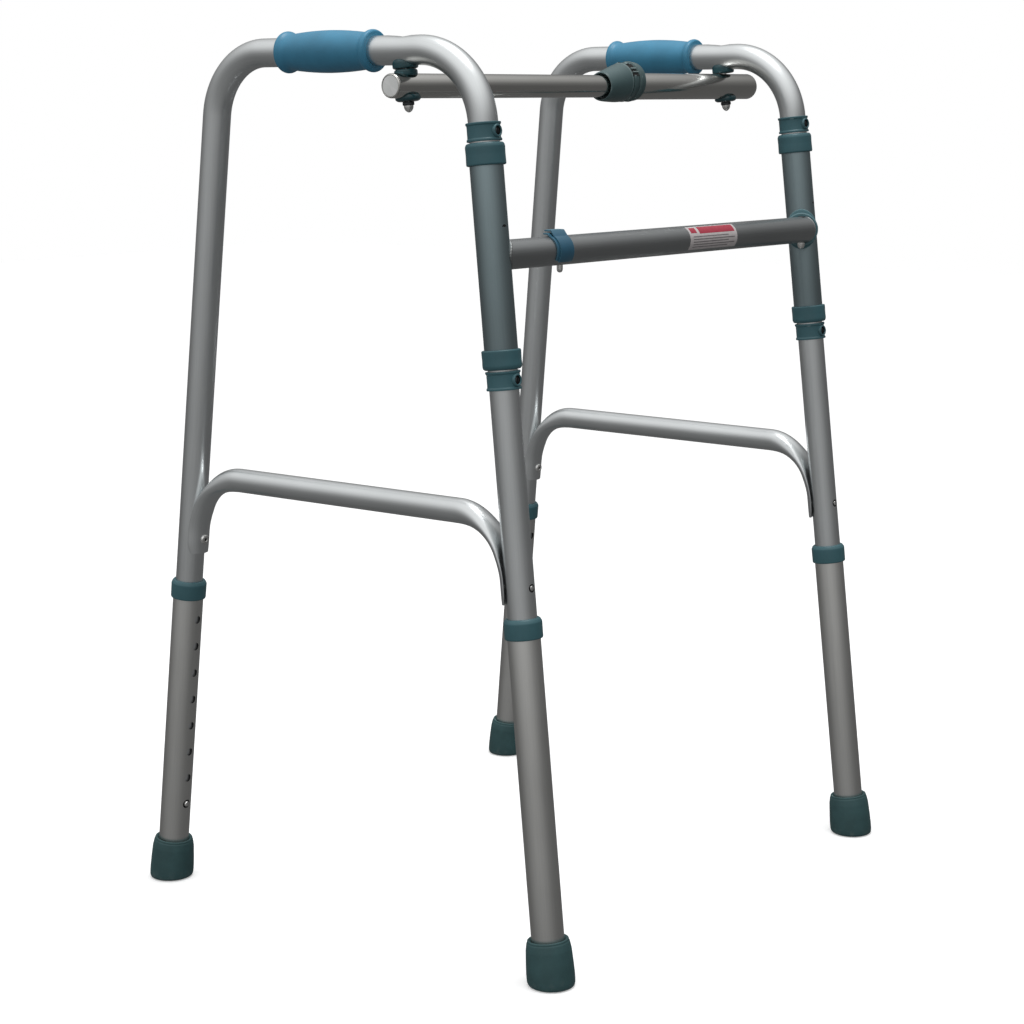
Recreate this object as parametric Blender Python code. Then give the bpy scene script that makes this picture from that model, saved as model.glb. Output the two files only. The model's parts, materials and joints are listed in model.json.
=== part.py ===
"""Folding walking frame: two bent-tube side frames on a front crossbar, with telescopic legs.

Metres, +Z up, the walking direction is -Y, and the origin is on the floor at the middle of the feet.
"right" is the walking person's right hand, at -X.
"""
import math

import bmesh
import bpy
from mathutils import Matrix, Vector

MM = 0.001
GAP = 0.3 * MM

# ---- driving dimensions ----
TOP_HEIGHT = 789.5 * MM          # axis of the side frames' top tubes
HALF_WIDTH = 246.8 * MM          # middle of a top tube, from the centre plane
LEAN = math.atan(0.0151)         # side frames lean in towards the top
TOE = math.atan(0.0181)          # and stand further apart at the rear
FLOOR_REACH = 230.7 * MM         # leg axes at the floor, before and behind the middle
LEG_TILT = math.radians(6.0)
FRONT_BEND = 67 * MM             # centre-line radii of the two top bends
REAR_BEND = 61 * MM

TUBE_R = 12.7 * MM               # 25.4 mm frame tube
TUBE_BORE = 11.4 * MM
SLEEVE_R = 14.3 * MM             # leg extensions and front sleeves slide over it
SLEEVE_BORE = 13.1 * MM

EXTENSION_FOOT_END = 6 * MM      # positions along a leg, from the floor
TUBE_END = 58 * MM
BUTTON_AT = 74.6 * MM
HOLE_PITCH = 26.5 * MM
HOLE_COUNT = 8
HOLE_R = 3.6 * MM
EXTENSION_TOP = 298 * MM
FERRULE_HEIGHT = 17.6 * MM
FOOT_HEIGHT = 39.8 * MM
RIGHT_FRONT_RISE = 17 * MM       # this extension was cut longer than the other three
BRACE_BOLT_AT = 343 * MM
SLEEVE_SPAN = (531 * MM, 713.3 * MM)
BUSH_SPANS = {"lower": (527.7 * MM, 544.4 * MM), "upper": (697.6 * MM, 716.3 * MM)}
COLLAR_SPANS = {"lower": (510.6 * MM, 526.5 * MM), "upper": (717.5 * MM, 733.1 * MM)}

BRACE_HEIGHT = 400.5 * MM
BRACE_R = 11 * MM
BRACE_WALL = 1.2 * MM
BRACE_BEND = 38 * MM
BRACE_END_AT = 329.5 * MM
BRACE_FLAT = 20 * MM             # each end is pressed to a cup round the leg over this length
BRACE_FADE = 75 * MM             # and is fully round again after this much more
CUP_THICKNESS = 3.6 * MM
CUP_GAP = 2 * GAP                # between the cup and the leg

GRIP_SPAN = (-37.3 * MM, 66.8 * MM)
PIVOT_Y = -72 * MM               # top crossbar bolts, in the side frames' plane
BAR_HEIGHT = 759.5 * MM
INNER_R, INNER_BORE = 10.5 * MM, 9.3 * MM
OUTER_R, OUTER_BORE = 12.7 * MM, 11.1 * MM
INNER_SPAN = (-266 * MM, 158 * MM)
OUTER_SPAN = (60.5 * MM, 287 * MM)
LOCK_X = 32 * MM                 # mouth of the lock housing
LOCK_LENGTH = 42 * MM
LOCK_RISE = 4.5 * MM             # the housing is deeper above the tube than below
LATCH_X = LOCK_X + 34 * MM
LOCK_SIDES = 20

LOW_BAR_HEIGHT = 619.2 * MM
LOW_BAR_R, LOW_BAR_BORE = 12.7 * MM, 11.4 * MM
LOW_BAR_STANDOFF = 30.5 * MM     # its far end stands this far from the left leg's axis
STANDOFF_TURN = math.radians(52)  # and in this direction, from the front towards the middle
BAR_BOLT_INSET = 7.5 * MM
CLIP_AT, CLIP_WIDTH = 75 * MM, 26 * MM
PIN_AT = 86.5 * MM

SIDES = {"right": -1, "left": 1}
ENDS = {"front": -1, "rear": 1}
ROUND = 16                       # sides of the large round pieces
SMALL = 8                        # of the fasteners
TUBE_SIDES = 12                  # and of the bent tubes

MATERIALS = {
    "satin_aluminium": ((0.72, 0.73, 0.72), 0.34, 1.0),
    "grey_aluminium": ((0.27, 0.28, 0.29), 0.42, 0.9),
    "teal_plastic": ((0.042, 0.105, 0.125), 0.4, 0.0),
    "blue_grip": ((0.05, 0.17, 0.28), 0.5, 0.0),
    "teal_rubber": ((0.035, 0.085, 0.09), 0.7, 0.0),
    "bright_steel": ((0.75, 0.75, 0.74), 0.25, 1.0),
    "dark_steel": ((0.09, 0.09, 0.09), 0.4, 0.9),
}


# ---- scene helpers ----
def clear_scene():
    for item in list(bpy.data.objects):
        bpy.data.objects.remove(item)


def make_materials():
    for name, (colour, roughness, metallic) in MATERIALS.items():
        material = bpy.data.materials.new(name)
        material.use_nodes = True
        shader = material.node_tree.nodes["Principled BSDF"]
        shader.inputs["Base Color"].default_value = (*colour, 1.0)
        shader.inputs["Roughness"].default_value = roughness
        shader.inputs["Metallic"].default_value = metallic


def axis_empty(name, matrix):
    """An empty on a joint's axis, with +Z along that axis."""
    empty = bpy.data.objects.new(name, None)
    empty.matrix_basis = matrix
    bpy.context.collection.objects.link(empty)
    return empty


def add_object(name, rings, closed, slot, matrix=Matrix(), parent=None):
    """Skin a list of rings. A closed skin joins the last ring to the first, any other gets two caps."""
    mesh_data = bmesh.new()
    rows = [[mesh_data.verts.new(point) for point in ring] for ring in rings]
    pairs = list(zip(rows, rows[1:] + rows[:1])) if closed else list(zip(rows, rows[1:]))
    for low, high in pairs:
        for i in range(len(low)):
            j = (i + 1) % len(low)
            mesh_data.faces.new((low[i], low[j], high[j], high[i]))
    if not closed:
        mesh_data.faces.new(list(reversed(rows[0])))
        mesh_data.faces.new(rows[-1])
    bmesh.ops.recalc_face_normals(mesh_data, faces=mesh_data.faces)
    mesh = bpy.data.meshes.new(name)
    mesh_data.to_mesh(mesh)
    mesh_data.free()
    mesh.shade_smooth()
    mesh.set_sharp_from_angle(angle=math.radians(35))
    item = bpy.data.objects.new(name, mesh)
    bpy.context.collection.objects.link(item)
    if slot:
        mesh.materials.append(bpy.data.materials[slot])
    else:
        item.hide_render = True
        item.display_type = "WIRE"
    if parent:
        item.parent = parent
        item.matrix_parent_inverse = parent.matrix_basis.inverted()
    item.matrix_basis = matrix
    return item


def combine(item, operation, *others):
    for other in others:
        modifier = item.modifiers.new(operation.lower(), "BOOLEAN")
        modifier.operation = operation
        modifier.solver = "EXACT"
        modifier.object = other


# ---- shape helpers ----
def circle(radius, height, count=ROUND):
    """A ring of points round local Z."""
    turns = [math.tau * i / count for i in range(count)]
    return [Vector((radius * math.cos(a), radius * math.sin(a), height)) for a in turns]


def turned(name, profile, closed, slot, matrix=Matrix(), parent=None, count=ROUND):
    """A solid of revolution from (radius, height) points: closed for a ring, capped for a plug."""
    rings = [circle(radius, height, count) for radius, height in profile]
    return add_object(name, rings, closed, slot, matrix, parent)


def pipe(name, low, high, outer, bore, slot, matrix, parent=None):
    profile = ((outer, low), (outer, high), (bore, high), (bore, low))
    return turned(name, profile, True, slot, matrix, parent)


def rod_cutter(name, radius, low, high, matrix, count=SMALL):
    return turned(name, ((radius, low), (radius, high)), False, None, matrix, None, count)


def look_along(origin, direction, up=Vector((0, 0, 1))):
    """A frame at origin whose +Z is direction and whose +Y is as near to up as it can be."""
    z = direction.normalized()
    x = up.cross(z).normalized()
    y = z.cross(x)
    turn = Matrix((x, y, z)).transposed().to_4x4()
    return Matrix.Translation(origin) @ turn


def filleted(corners, radii, steps=6):
    """Stations (point, tangent, distance) along a polyline in the YZ plane with rounded corners."""
    stations = [(corners[0], (corners[1] - corners[0]).normalized())]
    for before, corner, after, radius in zip(corners, corners[1:], corners[2:], radii):
        into = (corner - before).normalized()
        out = (after - corner).normalized()
        turn = into.angle(out)
        start = corner - into * radius * math.tan(turn / 2)
        axis = into.cross(out).normalized()
        centre = start + axis.cross(into) * radius
        for k in range(steps + 1):
            spin = Matrix.Rotation(turn * k / steps, 3, axis)
            stations.append((centre + spin @ (start - centre), spin @ into))
    stations.append((corners[-1], (corners[-1] - corners[-2]).normalized()))
    travelled = [0.0]
    for (a, _), (b, _) in zip(stations, stations[1:]):
        travelled.append(travelled[-1] + (b - a).length)
    return [(point, tangent, length) for (point, tangent), length in zip(stations, travelled)]


def section(point, tangent, radius, count=TUBE_SIDES):
    """A circle round a station of a path in the YZ plane."""
    across = Vector((1, 0, 0)) * radius
    in_plane = tangent.cross(across)
    turns = [math.tau * (i + 0.5) / count for i in range(count)]
    return [point + across * math.cos(a) + in_plane * math.sin(a) for a in turns]


def cup_section(point, tangent, half_width, half_thick, curl_radius, count=ROUND):
    """A flattened oval, bent to an arc whose centre lies curl_radius behind the station."""
    across = Vector((1, 0, 0))
    in_plane = tangent.cross(across)
    points = []
    for i in range(count):
        turn = math.tau * (i + 0.5) / count
        angle = half_width * math.cos(turn) / curl_radius
        reach = curl_radius + half_thick * math.sin(turn)
        shift = reach * math.cos(angle) - curl_radius
        points.append(point + across * reach * math.sin(angle) + in_plane * shift)
    return points


# ---- reference frames ----
def side_matrix(side):
    """The side frame's own plane: local Y runs back, local Z up the plane, origin on the floor."""
    base = Vector((side * (HALF_WIDTH + math.tan(LEAN) * TOP_HEIGHT), 0, 0))
    toe = Matrix.Rotation(-side * TOE, 4, "Z")
    lean = Matrix.Rotation(-side * LEAN, 4, "Y")
    return Matrix.Translation(base) @ toe @ lean


def leg_point(end, along):
    """A point on a leg's axis, in the side frame's plane."""
    y = end * (FLOOR_REACH - math.sin(LEG_TILT) * along)
    return Vector((0, y, math.cos(LEG_TILT) * along))


def leg_matrix(side, end):
    """+Z up the leg's axis from the floor, +Y towards the rear."""
    tilt = Matrix.Rotation(end * LEG_TILT, 4, "X")
    return side_matrix(side) @ Matrix.Translation(leg_point(end, 0)) @ tilt


def pivot_matrix(side):
    """On the top crossbar's bolt, at the bar's axis, +Z parallel to the front leg."""
    drop = side_matrix(side) @ Vector((0, PIVOT_Y, BAR_HEIGHT))
    turn = leg_matrix(side, -1).to_3x3().to_4x4()
    return Matrix.Translation(Vector((drop.x, drop.y, BAR_HEIGHT))) @ turn


def bar_matrix():
    """+Z along +X on the top crossbar's axis, +Y up."""
    origin = Vector((0, pivot_matrix(1).translation.y, BAR_HEIGHT))
    return look_along(origin, Vector((1, 0, 0)))


def leg_axis_at(side, height):
    """Where a front leg's axis passes a height above the floor."""
    matrix = leg_matrix(side, -1)
    rise = matrix.to_3x3() @ Vector((0, 0, 1))
    return matrix.translation + rise * (height / rise.z)


def low_bar_ends():
    start = leg_axis_at(-1, LOW_BAR_HEIGHT)
    leg = leg_axis_at(1, LOW_BAR_HEIGHT)
    away = Vector((-math.sin(STANDOFF_TURN), -math.cos(STANDOFF_TURN), 0))
    return start, leg + away * LOW_BAR_STANDOFF


# ---- side frames ----
def tube_cutters(side, name):
    """Holes in one frame tube for its brace bolts, leg buttons and crossbar bolt."""
    cutters = []
    for word, end in ENDS.items():
        bolt = bolt_matrix(side, end)
        cutters.append(rod_cutter(f"cut_{name}_{word}_bolt", 2.9 * MM, -30 * MM, 30 * MM, bolt))
        button = button_matrix(side, end)
        cutters.append(rod_cutter(f"cut_{name}_{word}_button", 3.5 * MM, 4 * MM, 20 * MM, button))
    pivot = pivot_matrix(side)
    cutters.append(rod_cutter(f"cut_{name}_pivot", 3.3 * MM, 10 * MM, 38 * MM, pivot))
    cutters.append(rod_cutter(f"cut_{name}_head", 5.3 * MM, 34 * MM, 60 * MM, pivot))
    return cutters


def make_frame_tube(word, side, fold):
    ends = [leg_point(-1, TUBE_END), leg_point(1, TUBE_END)]
    corner_y = FLOOR_REACH - math.tan(LEG_TILT) * TOP_HEIGHT
    corners = [
        ends[0],
        Vector((0, -corner_y, TOP_HEIGHT)),
        Vector((0, corner_y, TOP_HEIGHT)),
        ends[1],
    ]
    stations = filleted(corners, (FRONT_BEND, REAR_BEND))
    outer = [section(p, t, TUBE_R) for p, t, _ in stations]
    inner = [section(p, t, TUBE_BORE) for p, t, _ in reversed(stations)]
    name = f"{word}_frame_tube"
    tube = add_object(name, outer + inner, True, "satin_aluminium", side_matrix(side), fold)
    combine(tube, "DIFFERENCE", *tube_cutters(side, name))


def make_grip(word, side, fold):
    start = side_matrix(side) @ Vector((0, GRIP_SPAN[0], TOP_HEIGHT))
    matrix = look_along(start, side_matrix(side).to_3x3() @ Vector((0, 1, 0)))
    length = GRIP_SPAN[1] - GRIP_SPAN[0]
    flange, neck, belly = 18.2 * MM, 15.9 * MM, 18.4 * MM
    rim, dip, swell = 5 * MM, 10 * MM, 34 * MM
    half = [(flange, 0), (flange, rim), (neck, dip), (belly - 0.5 * MM, swell), (belly, length / 2)]
    profile = half + [(radius, length - along) for radius, along in reversed(half[:-1])]
    profile += [(TUBE_R + GAP, length), (TUBE_R + GAP, 0)]
    turned(f"{word}_grip", profile, True, "blue_grip", matrix, fold)


def brace_stations():
    """The brace's centre line, with extra stations along its two straight ends."""
    offset = TUBE_R + CUP_GAP + BRACE_R
    ends = []
    corners = []
    for end in (-1, 1):
        inward = Vector((0, -end * math.cos(LEG_TILT), -math.sin(LEG_TILT))) * offset
        low = leg_point(end, BRACE_END_AT) + inward
        up = (leg_point(end, 1) - leg_point(end, 0)).normalized()
        ends.append(low)
        corners.append(low + up * ((BRACE_HEIGHT - low.z) / up.z))
    stations = filleted([ends[0], *corners, ends[1]], (BRACE_BEND, BRACE_BEND))
    total = stations[-1][2]
    first, last = stations[0], stations[-1]
    extra = (BRACE_FLAT * 0.75, BRACE_FLAT * 1.4)
    lead = [(first[0] + first[1] * step, first[1], step) for step in extra]
    tail = [(last[0] - last[1] * step, last[1], total - step) for step in reversed(extra)]
    return [first, *lead, *stations[1:-1], *tail, last], total


def brace_ring(station, total, inset):
    """Round in the middle, and pressed to a cup against the leg at the ends."""
    point, tangent, travelled = station
    from_end = min(travelled, total - travelled)
    blend = min(1.0, max(0.0, (from_end - BRACE_FLAT) / BRACE_FADE))
    blend = blend * blend * (3 - 2 * blend)
    flat = CUP_THICKNESS / 2
    thick = flat + (BRACE_R - flat) * blend
    flat_width = BRACE_R * math.pi / 2 - flat
    wide = flat_width + (BRACE_R - flat_width) * blend
    curl = (TUBE_R + CUP_GAP + flat) / max(1 - blend, 0.002)
    away = tangent.cross(Vector((1, 0, 0)))
    seat = point - away * (BRACE_R - thick)
    return cup_section(seat, tangent, wide - inset, thick - inset, curl)


def make_brace(word, side, fold):
    stations, total = brace_stations()
    outer = [brace_ring(station, total, 0.0) for station in stations]
    inner = [brace_ring(station, total, BRACE_WALL) for station in reversed(stations)]
    name = f"{word}_brace"
    brace = add_object(name, outer + inner, True, "satin_aluminium", side_matrix(side), fold)
    for end_word, end in ENDS.items():
        hole = rod_cutter(f"cut_{name}_{end_word}", 2.9 * MM, -30 * MM, 30 * MM, bolt_matrix(side, end))
        combine(brace, "DIFFERENCE", hole)


def bolt_matrix(side, end):
    """Across a leg at its brace bolt: +Z runs back through leg and brace."""
    side_frame = side_matrix(side)
    origin = side_frame @ leg_point(end, BRACE_BOLT_AT)
    return look_along(origin, side_frame.to_3x3() @ Vector((0, 1, 0)))


def make_brace_bolts(word, side, fold):
    shank_r, head_r = 2.6 * MM, 4.6 * MM
    plain = TUBE_R + GAP + head_r * math.tan(LEG_TILT)
    cup = plain + CUP_GAP + CUP_THICKNESS
    for end_word, end in ENDS.items():
        ahead = cup if end > 0 else plain
        behind = plain if end > 0 else cup
        head = [(shank_r, -ahead - 2.2 * MM), (head_r, -ahead - 1.2 * MM), (head_r, -ahead)]
        shank = [(shank_r, -ahead), (shank_r, behind)]
        nut = [(head_r, behind), (head_r, behind + 2.4 * MM)]
        tip = [(shank_r, behind + 2.4 * MM), (2.2 * MM, behind + 3.4 * MM)]
        matrix = bolt_matrix(side, end)
        turned(f"{word}_{end_word}_brace_bolt", head + shank + nut + tip, False, "bright_steel",
               matrix, fold, SMALL)


def make_collars(word, side, fold):
    """The two screw collars that hold the front sleeve in its place on the leg."""
    leg = leg_matrix(side, -1)
    bore, waist, flange, lip = TUBE_R + GAP, 14.3 * MM, 14.9 * MM, 1.6 * MM
    for level, (low, high) in COLLAR_SPANS.items():
        name = f"{word}_{level}_collar"
        profile = [(flange, low), (flange, low + lip), (waist, low + lip + 0.6 * MM)]
        profile += [(waist, high - lip - 0.6 * MM), (flange, high - lip), (flange, high)]
        profile += [(bore, high), (bore, low)]
        collar = turned(name, profile, True, "teal_plastic", leg, fold)
        facing = look_along(leg @ Vector((0, 0, (low + high) / 2)), leg.to_3x3() @ Vector((0, -1, 0)))
        boss = rod_cutter(f"join_{name}_boss", 4.9 * MM, 13.4 * MM, 17 * MM, facing, 12)
        combine(collar, "UNION", boss)
        pocket = rod_cutter(f"cut_{name}_pocket", 3.6 * MM, 14.6 * MM, 20 * MM, facing)
        hole = rod_cutter(f"cut_{name}_hole", 1.9 * MM, 10 * MM, 20 * MM, facing)
        combine(collar, "DIFFERENCE", pocket, hole)
        head = [(3.2 * MM, 16.2 * MM), (3.2 * MM, 14.9 * MM), (1.6 * MM, 14.9 * MM), (1.6 * MM, 13.1 * MM)]
        turned(f"{name}_screw", head, False, "dark_steel", facing, fold, SMALL)


def make_pivot(word, side, fold, bar_body):
    """Bolt, saddles and nut that hang the top crossbar under a top tube."""
    matrix = pivot_matrix(side)
    bar_r = OUTER_R if side > 0 else INNER_R
    top_tube = rod_cutter(f"cut_{word}_saddle_tube", TUBE_R + GAP, -60 * MM, 60 * MM,
                          look_along(side_matrix(side) @ Vector((0, PIVOT_Y, TOP_HEIGHT)),
                                     side_matrix(side).to_3x3() @ Vector((0, 1, 0))), ROUND)
    bar_x = pivot_matrix(side).translation.x
    bar = rod_cutter(f"cut_{word}_saddle_bar", bar_r + GAP, bar_x - 40 * MM, bar_x + 40 * MM,
                     bar_matrix(), ROUND)
    bore = 3.3 * MM
    floor = bar_r + (0.6 if side > 0 else 3.8) * MM
    upper = [(11 * MM, floor), (11 * MM, 20 * MM), (9.5 * MM, 23.4 * MM), (bore, 23.4 * MM), (bore, floor)]
    saddle = turned(f"{word}_upper_saddle", upper, True, "teal_plastic", matrix, fold)
    combine(saddle, "DIFFERENCE", top_tube)
    if side < 0:
        middle = [(9.4 * MM, 8 * MM), (10 * MM, 9 * MM), (10 * MM, floor - 1.4 * MM),
                  (9.4 * MM, floor - 0.5 * MM), (bore, floor - 0.5 * MM), (bore, 8 * MM)]
        hug = turned(f"{word}_middle_saddle", middle, True, "teal_plastic", matrix, bar_body)
        combine(hug, "DIFFERENCE", bar)
    base = -bar_r - 2.6 * MM
    lower = [(9 * MM, base), (11 * MM, base + 2 * MM), (11 * MM, base + 4.4 * MM),
             (10 * MM, base + 5.4 * MM), (bore, base + 5.4 * MM), (bore, base)]
    under = turned(f"{word}_lower_saddle", lower, True, "teal_plastic", matrix, bar_body)
    combine(under, "DIFFERENCE", bar)
    seat = base - GAP
    nut = [(3.3 * MM, seat), (5 * MM, seat), (5 * MM, seat - 4.6 * MM), (3.3 * MM, seat - 4.6 * MM)]
    turned(f"{word}_pivot_nut", nut, True, "dark_steel", matrix, fold, SMALL)
    tip = seat - 4.6 * MM
    bolt = [(1.4 * MM, tip - 4.6 * MM), (3 * MM, tip - 2.4 * MM), (3 * MM, 38.4 * MM),
            (4.6 * MM, 38.8 * MM), (4.6 * MM, 40.6 * MM), (3 * MM, 41.4 * MM)]
    turned(f"{word}_pivot_bolt", bolt, False, "bright_steel", matrix, fold, SMALL)


def make_side_frame(word, side, fold, bar_body):
    make_frame_tube(word, side, fold)
    make_grip(word, side, fold)
    make_brace(word, side, fold)
    make_brace_bolts(word, side, fold)
    make_collars(word, side, fold)
    make_pivot(word, side, fold, bar_body)


# ---- telescopic legs ----
def button_matrix(side, end):
    """Across a leg at its snap button: +Z faces the other leg of the same side frame."""
    leg = leg_matrix(side, end)
    return look_along(leg @ Vector((0, 0, BUTTON_AT)), leg.to_3x3() @ Vector((0, -end, 0)))


def extension_rise(side, end):
    return RIGHT_FRONT_RISE if (side, end) == (-1, -1) else 0.0


def make_extension(name, side, end, axis):
    top = EXTENSION_TOP + extension_rise(side, end)
    leg = leg_matrix(side, end)
    tube = pipe(f"{name}_extension", EXTENSION_FOOT_END, top, SLEEVE_R, SLEEVE_BORE,
                "satin_aluminium", leg, axis)
    facing = button_matrix(side, end)
    for k in range(HOLE_COUNT):
        shift = Matrix.Translation(leg.to_3x3() @ Vector((0, 0, k * HOLE_PITCH)))
        hole = rod_cutter(f"cut_{name}_hole_{k}", HOLE_R, 8 * MM, 20 * MM, shift @ facing)
        combine(tube, "DIFFERENCE", hole)
    ferrule_top = top + 2.4 * MM
    low = ferrule_top - FERRULE_HEIGHT
    profile = [(16 * MM, low), (16.6 * MM, low + 1 * MM), (16.6 * MM, ferrule_top - 1.4 * MM),
               (15.6 * MM, ferrule_top), (TUBE_R + GAP, ferrule_top), (TUBE_R + GAP, top + GAP),
               (SLEEVE_R + GAP, top + GAP), (SLEEVE_R + GAP, low)]
    turned(f"{name}_ferrule", profile, True, "teal_plastic", leg, axis)


def make_foot(name, side, end, axis):
    """A rubber cup: level rings at the floor, square to the leg at the lip."""
    leg = leg_matrix(side, end)
    to_leg = leg.inverted()
    up = (leg.to_3x3() @ Vector((0, 0, 1))).normalized()
    lip = FOOT_HEIGHT
    bore = SLEEVE_R + GAP
    floor = EXTENSION_FOOT_END - GAP
    base, wall = 20.9 * MM, 19.4 * MM
    profile = [(base - 1.2 * MM, 0), (base, 1.6 * MM), (base, 8 * MM), (wall, lip - 2 * MM)]
    profile += [(wall - 1 * MM, lip), (bore, lip), (bore, floor)]
    rings = []
    for radius, along in profile:
        blend = min(1.0, along / (lip * 0.5)) if radius > bore else 1.0
        normal = Vector((0, 0, 1)).lerp(up, blend).normalized()
        centre = leg.translation + up * (along / up.z)
        frame = look_along(centre, normal, Vector((0, 1, 0)))
        rings.append([to_leg @ (frame @ point) for point in circle(radius, 0)])
    add_object(f"{name}_foot", rings, False, "teal_rubber", leg, axis)


def make_button(name, side, end, press):
    """Snap button on its V-shaped leaf spring, inside the frame tube."""
    matrix = button_matrix(side, end)
    button = turned(f"{name}_snap_button",
                    [(3.1 * MM, 7.6 * MM), (3.1 * MM, 14.6 * MM), (1.8 * MM, 15.6 * MM)],
                    False, "bright_steel", matrix, press, SMALL)
    path = [Vector((0, -5, 8.2)), Vector((0, 6, 8.2)), Vector((0, 30, 1.4)), Vector((0, 33, 0)),
            Vector((0, 30, -1.4)), Vector((0, 4, -5.6))]
    half_width, half_thick = 3.4 * MM, 0.45 * MM
    rings = []
    for i, point in enumerate(path):
        tangent = (path[min(i + 1, len(path) - 1)] - path[max(i - 1, 0)]).normalized()
        normal = Vector((1, 0, 0)).cross(tangent) * half_thick
        side_step = Vector((half_width, 0, 0))
        centre = point * MM
        rings.append([centre + side_step + normal, centre - side_step + normal,
                      centre - side_step - normal, centre + side_step - normal])
    leaf = add_object(f"join_{name}_leaf", rings, False, None, matrix)
    combine(button, "UNION", leaf)


def make_legs(word, side, fold):
    for end_word, end in ENDS.items():
        name = f"{word}_{end_word}"
        axis = axis_empty(f"{name}_leg_slide", leg_matrix(side, end))
        press = axis_empty(f"{name}_button_press", button_matrix(side, end))
        make_extension(name, side, end, axis)
        make_foot(name, side, end, axis)
        make_button(name, side, end, press)


# ---- front crossbars ----
def make_bushes(word, side):
    """Ring bushes on the two ends of a front sleeve, bearing on the screw collars."""
    leg = leg_matrix(side, -1)
    over, lip = SLEEVE_R + GAP, TUBE_R + GAP
    for level, (low, high) in BUSH_SPANS.items():
        mouth, face = (low, high) if level == "upper" else (high, low)
        seat = SLEEVE_SPAN[1] + GAP if level == "upper" else SLEEVE_SPAN[0] - GAP
        step = 1.2 * MM if level == "upper" else -1.2 * MM
        profile = [(16.2 * MM, mouth), (16.8 * MM, mouth + step / 2), (16.8 * MM, face - step),
                   (15.6 * MM, face), (lip, face), (lip, seat), (over, seat), (over, mouth)]
        turned(f"{word}_{level}_ring_bush", profile, True, "teal_plastic", leg)


def make_low_bar():
    """The right sleeve with the lower crossbar welded to it, and the left sleeve beside its far end."""
    leg = leg_matrix(-1, -1)
    start, stop = low_bar_ends()
    along = look_along(start, stop - start)
    length = (stop - start).length
    low, high = SLEEVE_SPAN
    sleeve = turned("lower_bar", ((SLEEVE_R, low), (SLEEVE_R, high)), False, "grey_aluminium", leg)
    bar = rod_cutter("join_low_bar", LOW_BAR_R, 4 * MM, length, along, ROUND)
    combine(sleeve, "UNION", bar)
    bore = rod_cutter("cut_low_bar_sleeve_bore", SLEEVE_BORE, low - 10 * MM, high + 10 * MM, leg, ROUND)
    bar_bore = rod_cutter("cut_low_bar_bore", LOW_BAR_BORE, SLEEVE_R + 1 * MM, length + 10 * MM, along, ROUND)
    down = Matrix.Translation(along @ Vector((0, 0, PIN_AT)))
    pin_hole = rod_cutter("cut_low_bar_pin", 3 * MM, -30 * MM, 0, down)
    across = Matrix.Translation(along @ Vector((0, 0, length - BAR_BOLT_INSET)))
    bolt_hole = rod_cutter("cut_low_bar_bolt", 2.7 * MM, -30 * MM, 30 * MM, across)
    combine(sleeve, "DIFFERENCE", bore, bar_bore, pin_hole, bolt_hole)
    pipe("left_sleeve", low, high, SLEEVE_R, SLEEVE_BORE, "grey_aluminium", leg_matrix(1, -1))
    make_low_bar_fittings(along, length, across, down)


def make_low_bar_fittings(along, length, across, down):
    """Saddle and bolt at the far end of the lower bar, and the fold clip with its pin."""
    leg = leg_axis_at(1, LOW_BAR_HEIGHT)
    bolt_point = along @ Vector((0, 0, length - BAR_BOLT_INSET))
    facing = look_along(bolt_point, leg - bolt_point)
    block = [(15.8, 4.4), (16.4, 5), (16.4, 7.2), (14.6, 8.2), (14.6, 9.4), (16.4, 10.4),
             (16.4, 14), (13, 22)]
    profile = [(radius * MM, depth * MM) for radius, depth in block]
    saddle = turned("bar_end_saddle", profile, False, "teal_plastic", facing)
    bar = rod_cutter("cut_saddle_low_bar", LOW_BAR_R + GAP, length - 60 * MM, length + GAP, along, ROUND)
    sleeve = rod_cutter("cut_saddle_sleeve", SLEEVE_R + GAP, 500 * MM, 740 * MM,
                        leg_matrix(1, -1), ROUND)
    combine(saddle, "DIFFERENCE", bar, sleeve)
    bolt = [(2 * MM, 15 * MM), (4 * MM, 14 * MM), (4 * MM, 13 * MM), (2.4 * MM, 13 * MM),
            (2.4 * MM, -13 * MM), (4 * MM, -13 * MM), (4 * MM, -16 * MM), (2.4 * MM, -16 * MM),
            (2 * MM, -18.6 * MM)]
    turned("bar_end_bolt", bolt, False, "bright_steel", across, None, SMALL)
    make_clip(along)
    pin = [(2.7 * MM, -7.5 * MM), (2.7 * MM, -16.8 * MM), (2 * MM, -18.4 * MM), (0.8 * MM, -19.2 * MM)]
    turned("clip_pin", pin, False, "bright_steel", down, None, SMALL)


def make_clip(along):
    """Spring strap round the front of the lower bar, ending in a lifted tab over its top."""
    inner, thick = LOW_BAR_R + GAP, 2.2 * MM
    outer = inner + thick
    first, last, steps = math.radians(-38), math.radians(62), 8
    angles = [first + (last - first) * k / steps for k in range(steps + 1)]
    tab_back, tab_top = -7 * MM, LOW_BAR_R + 5.6 * MM
    knee = (math.cos(last) * outer - 4 * MM, tab_top)
    outline = [(math.cos(a) * outer, math.sin(a) * outer) for a in angles]
    outline += [knee, (tab_back, tab_top), (tab_back, tab_top - thick), (knee[0] - thick, tab_top - thick)]
    outline += [(math.cos(a) * inner, math.sin(a) * inner) for a in reversed(angles)]
    centre = along @ Vector((0, 0, CLIP_AT))
    bar_way = along.to_3x3() @ Vector((0, 0, 1))
    forward = bar_way.cross(Vector((0, 0, 1)))
    rings = []
    for step in (-CLIP_WIDTH / 2, CLIP_WIDTH / 2):
        base = centre + bar_way * step
        rings.append([base + forward * u + Vector((0, 0, v)) for u, v in outline])
    add_object("fold_clip", rings, False, "blue_grip")


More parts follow.
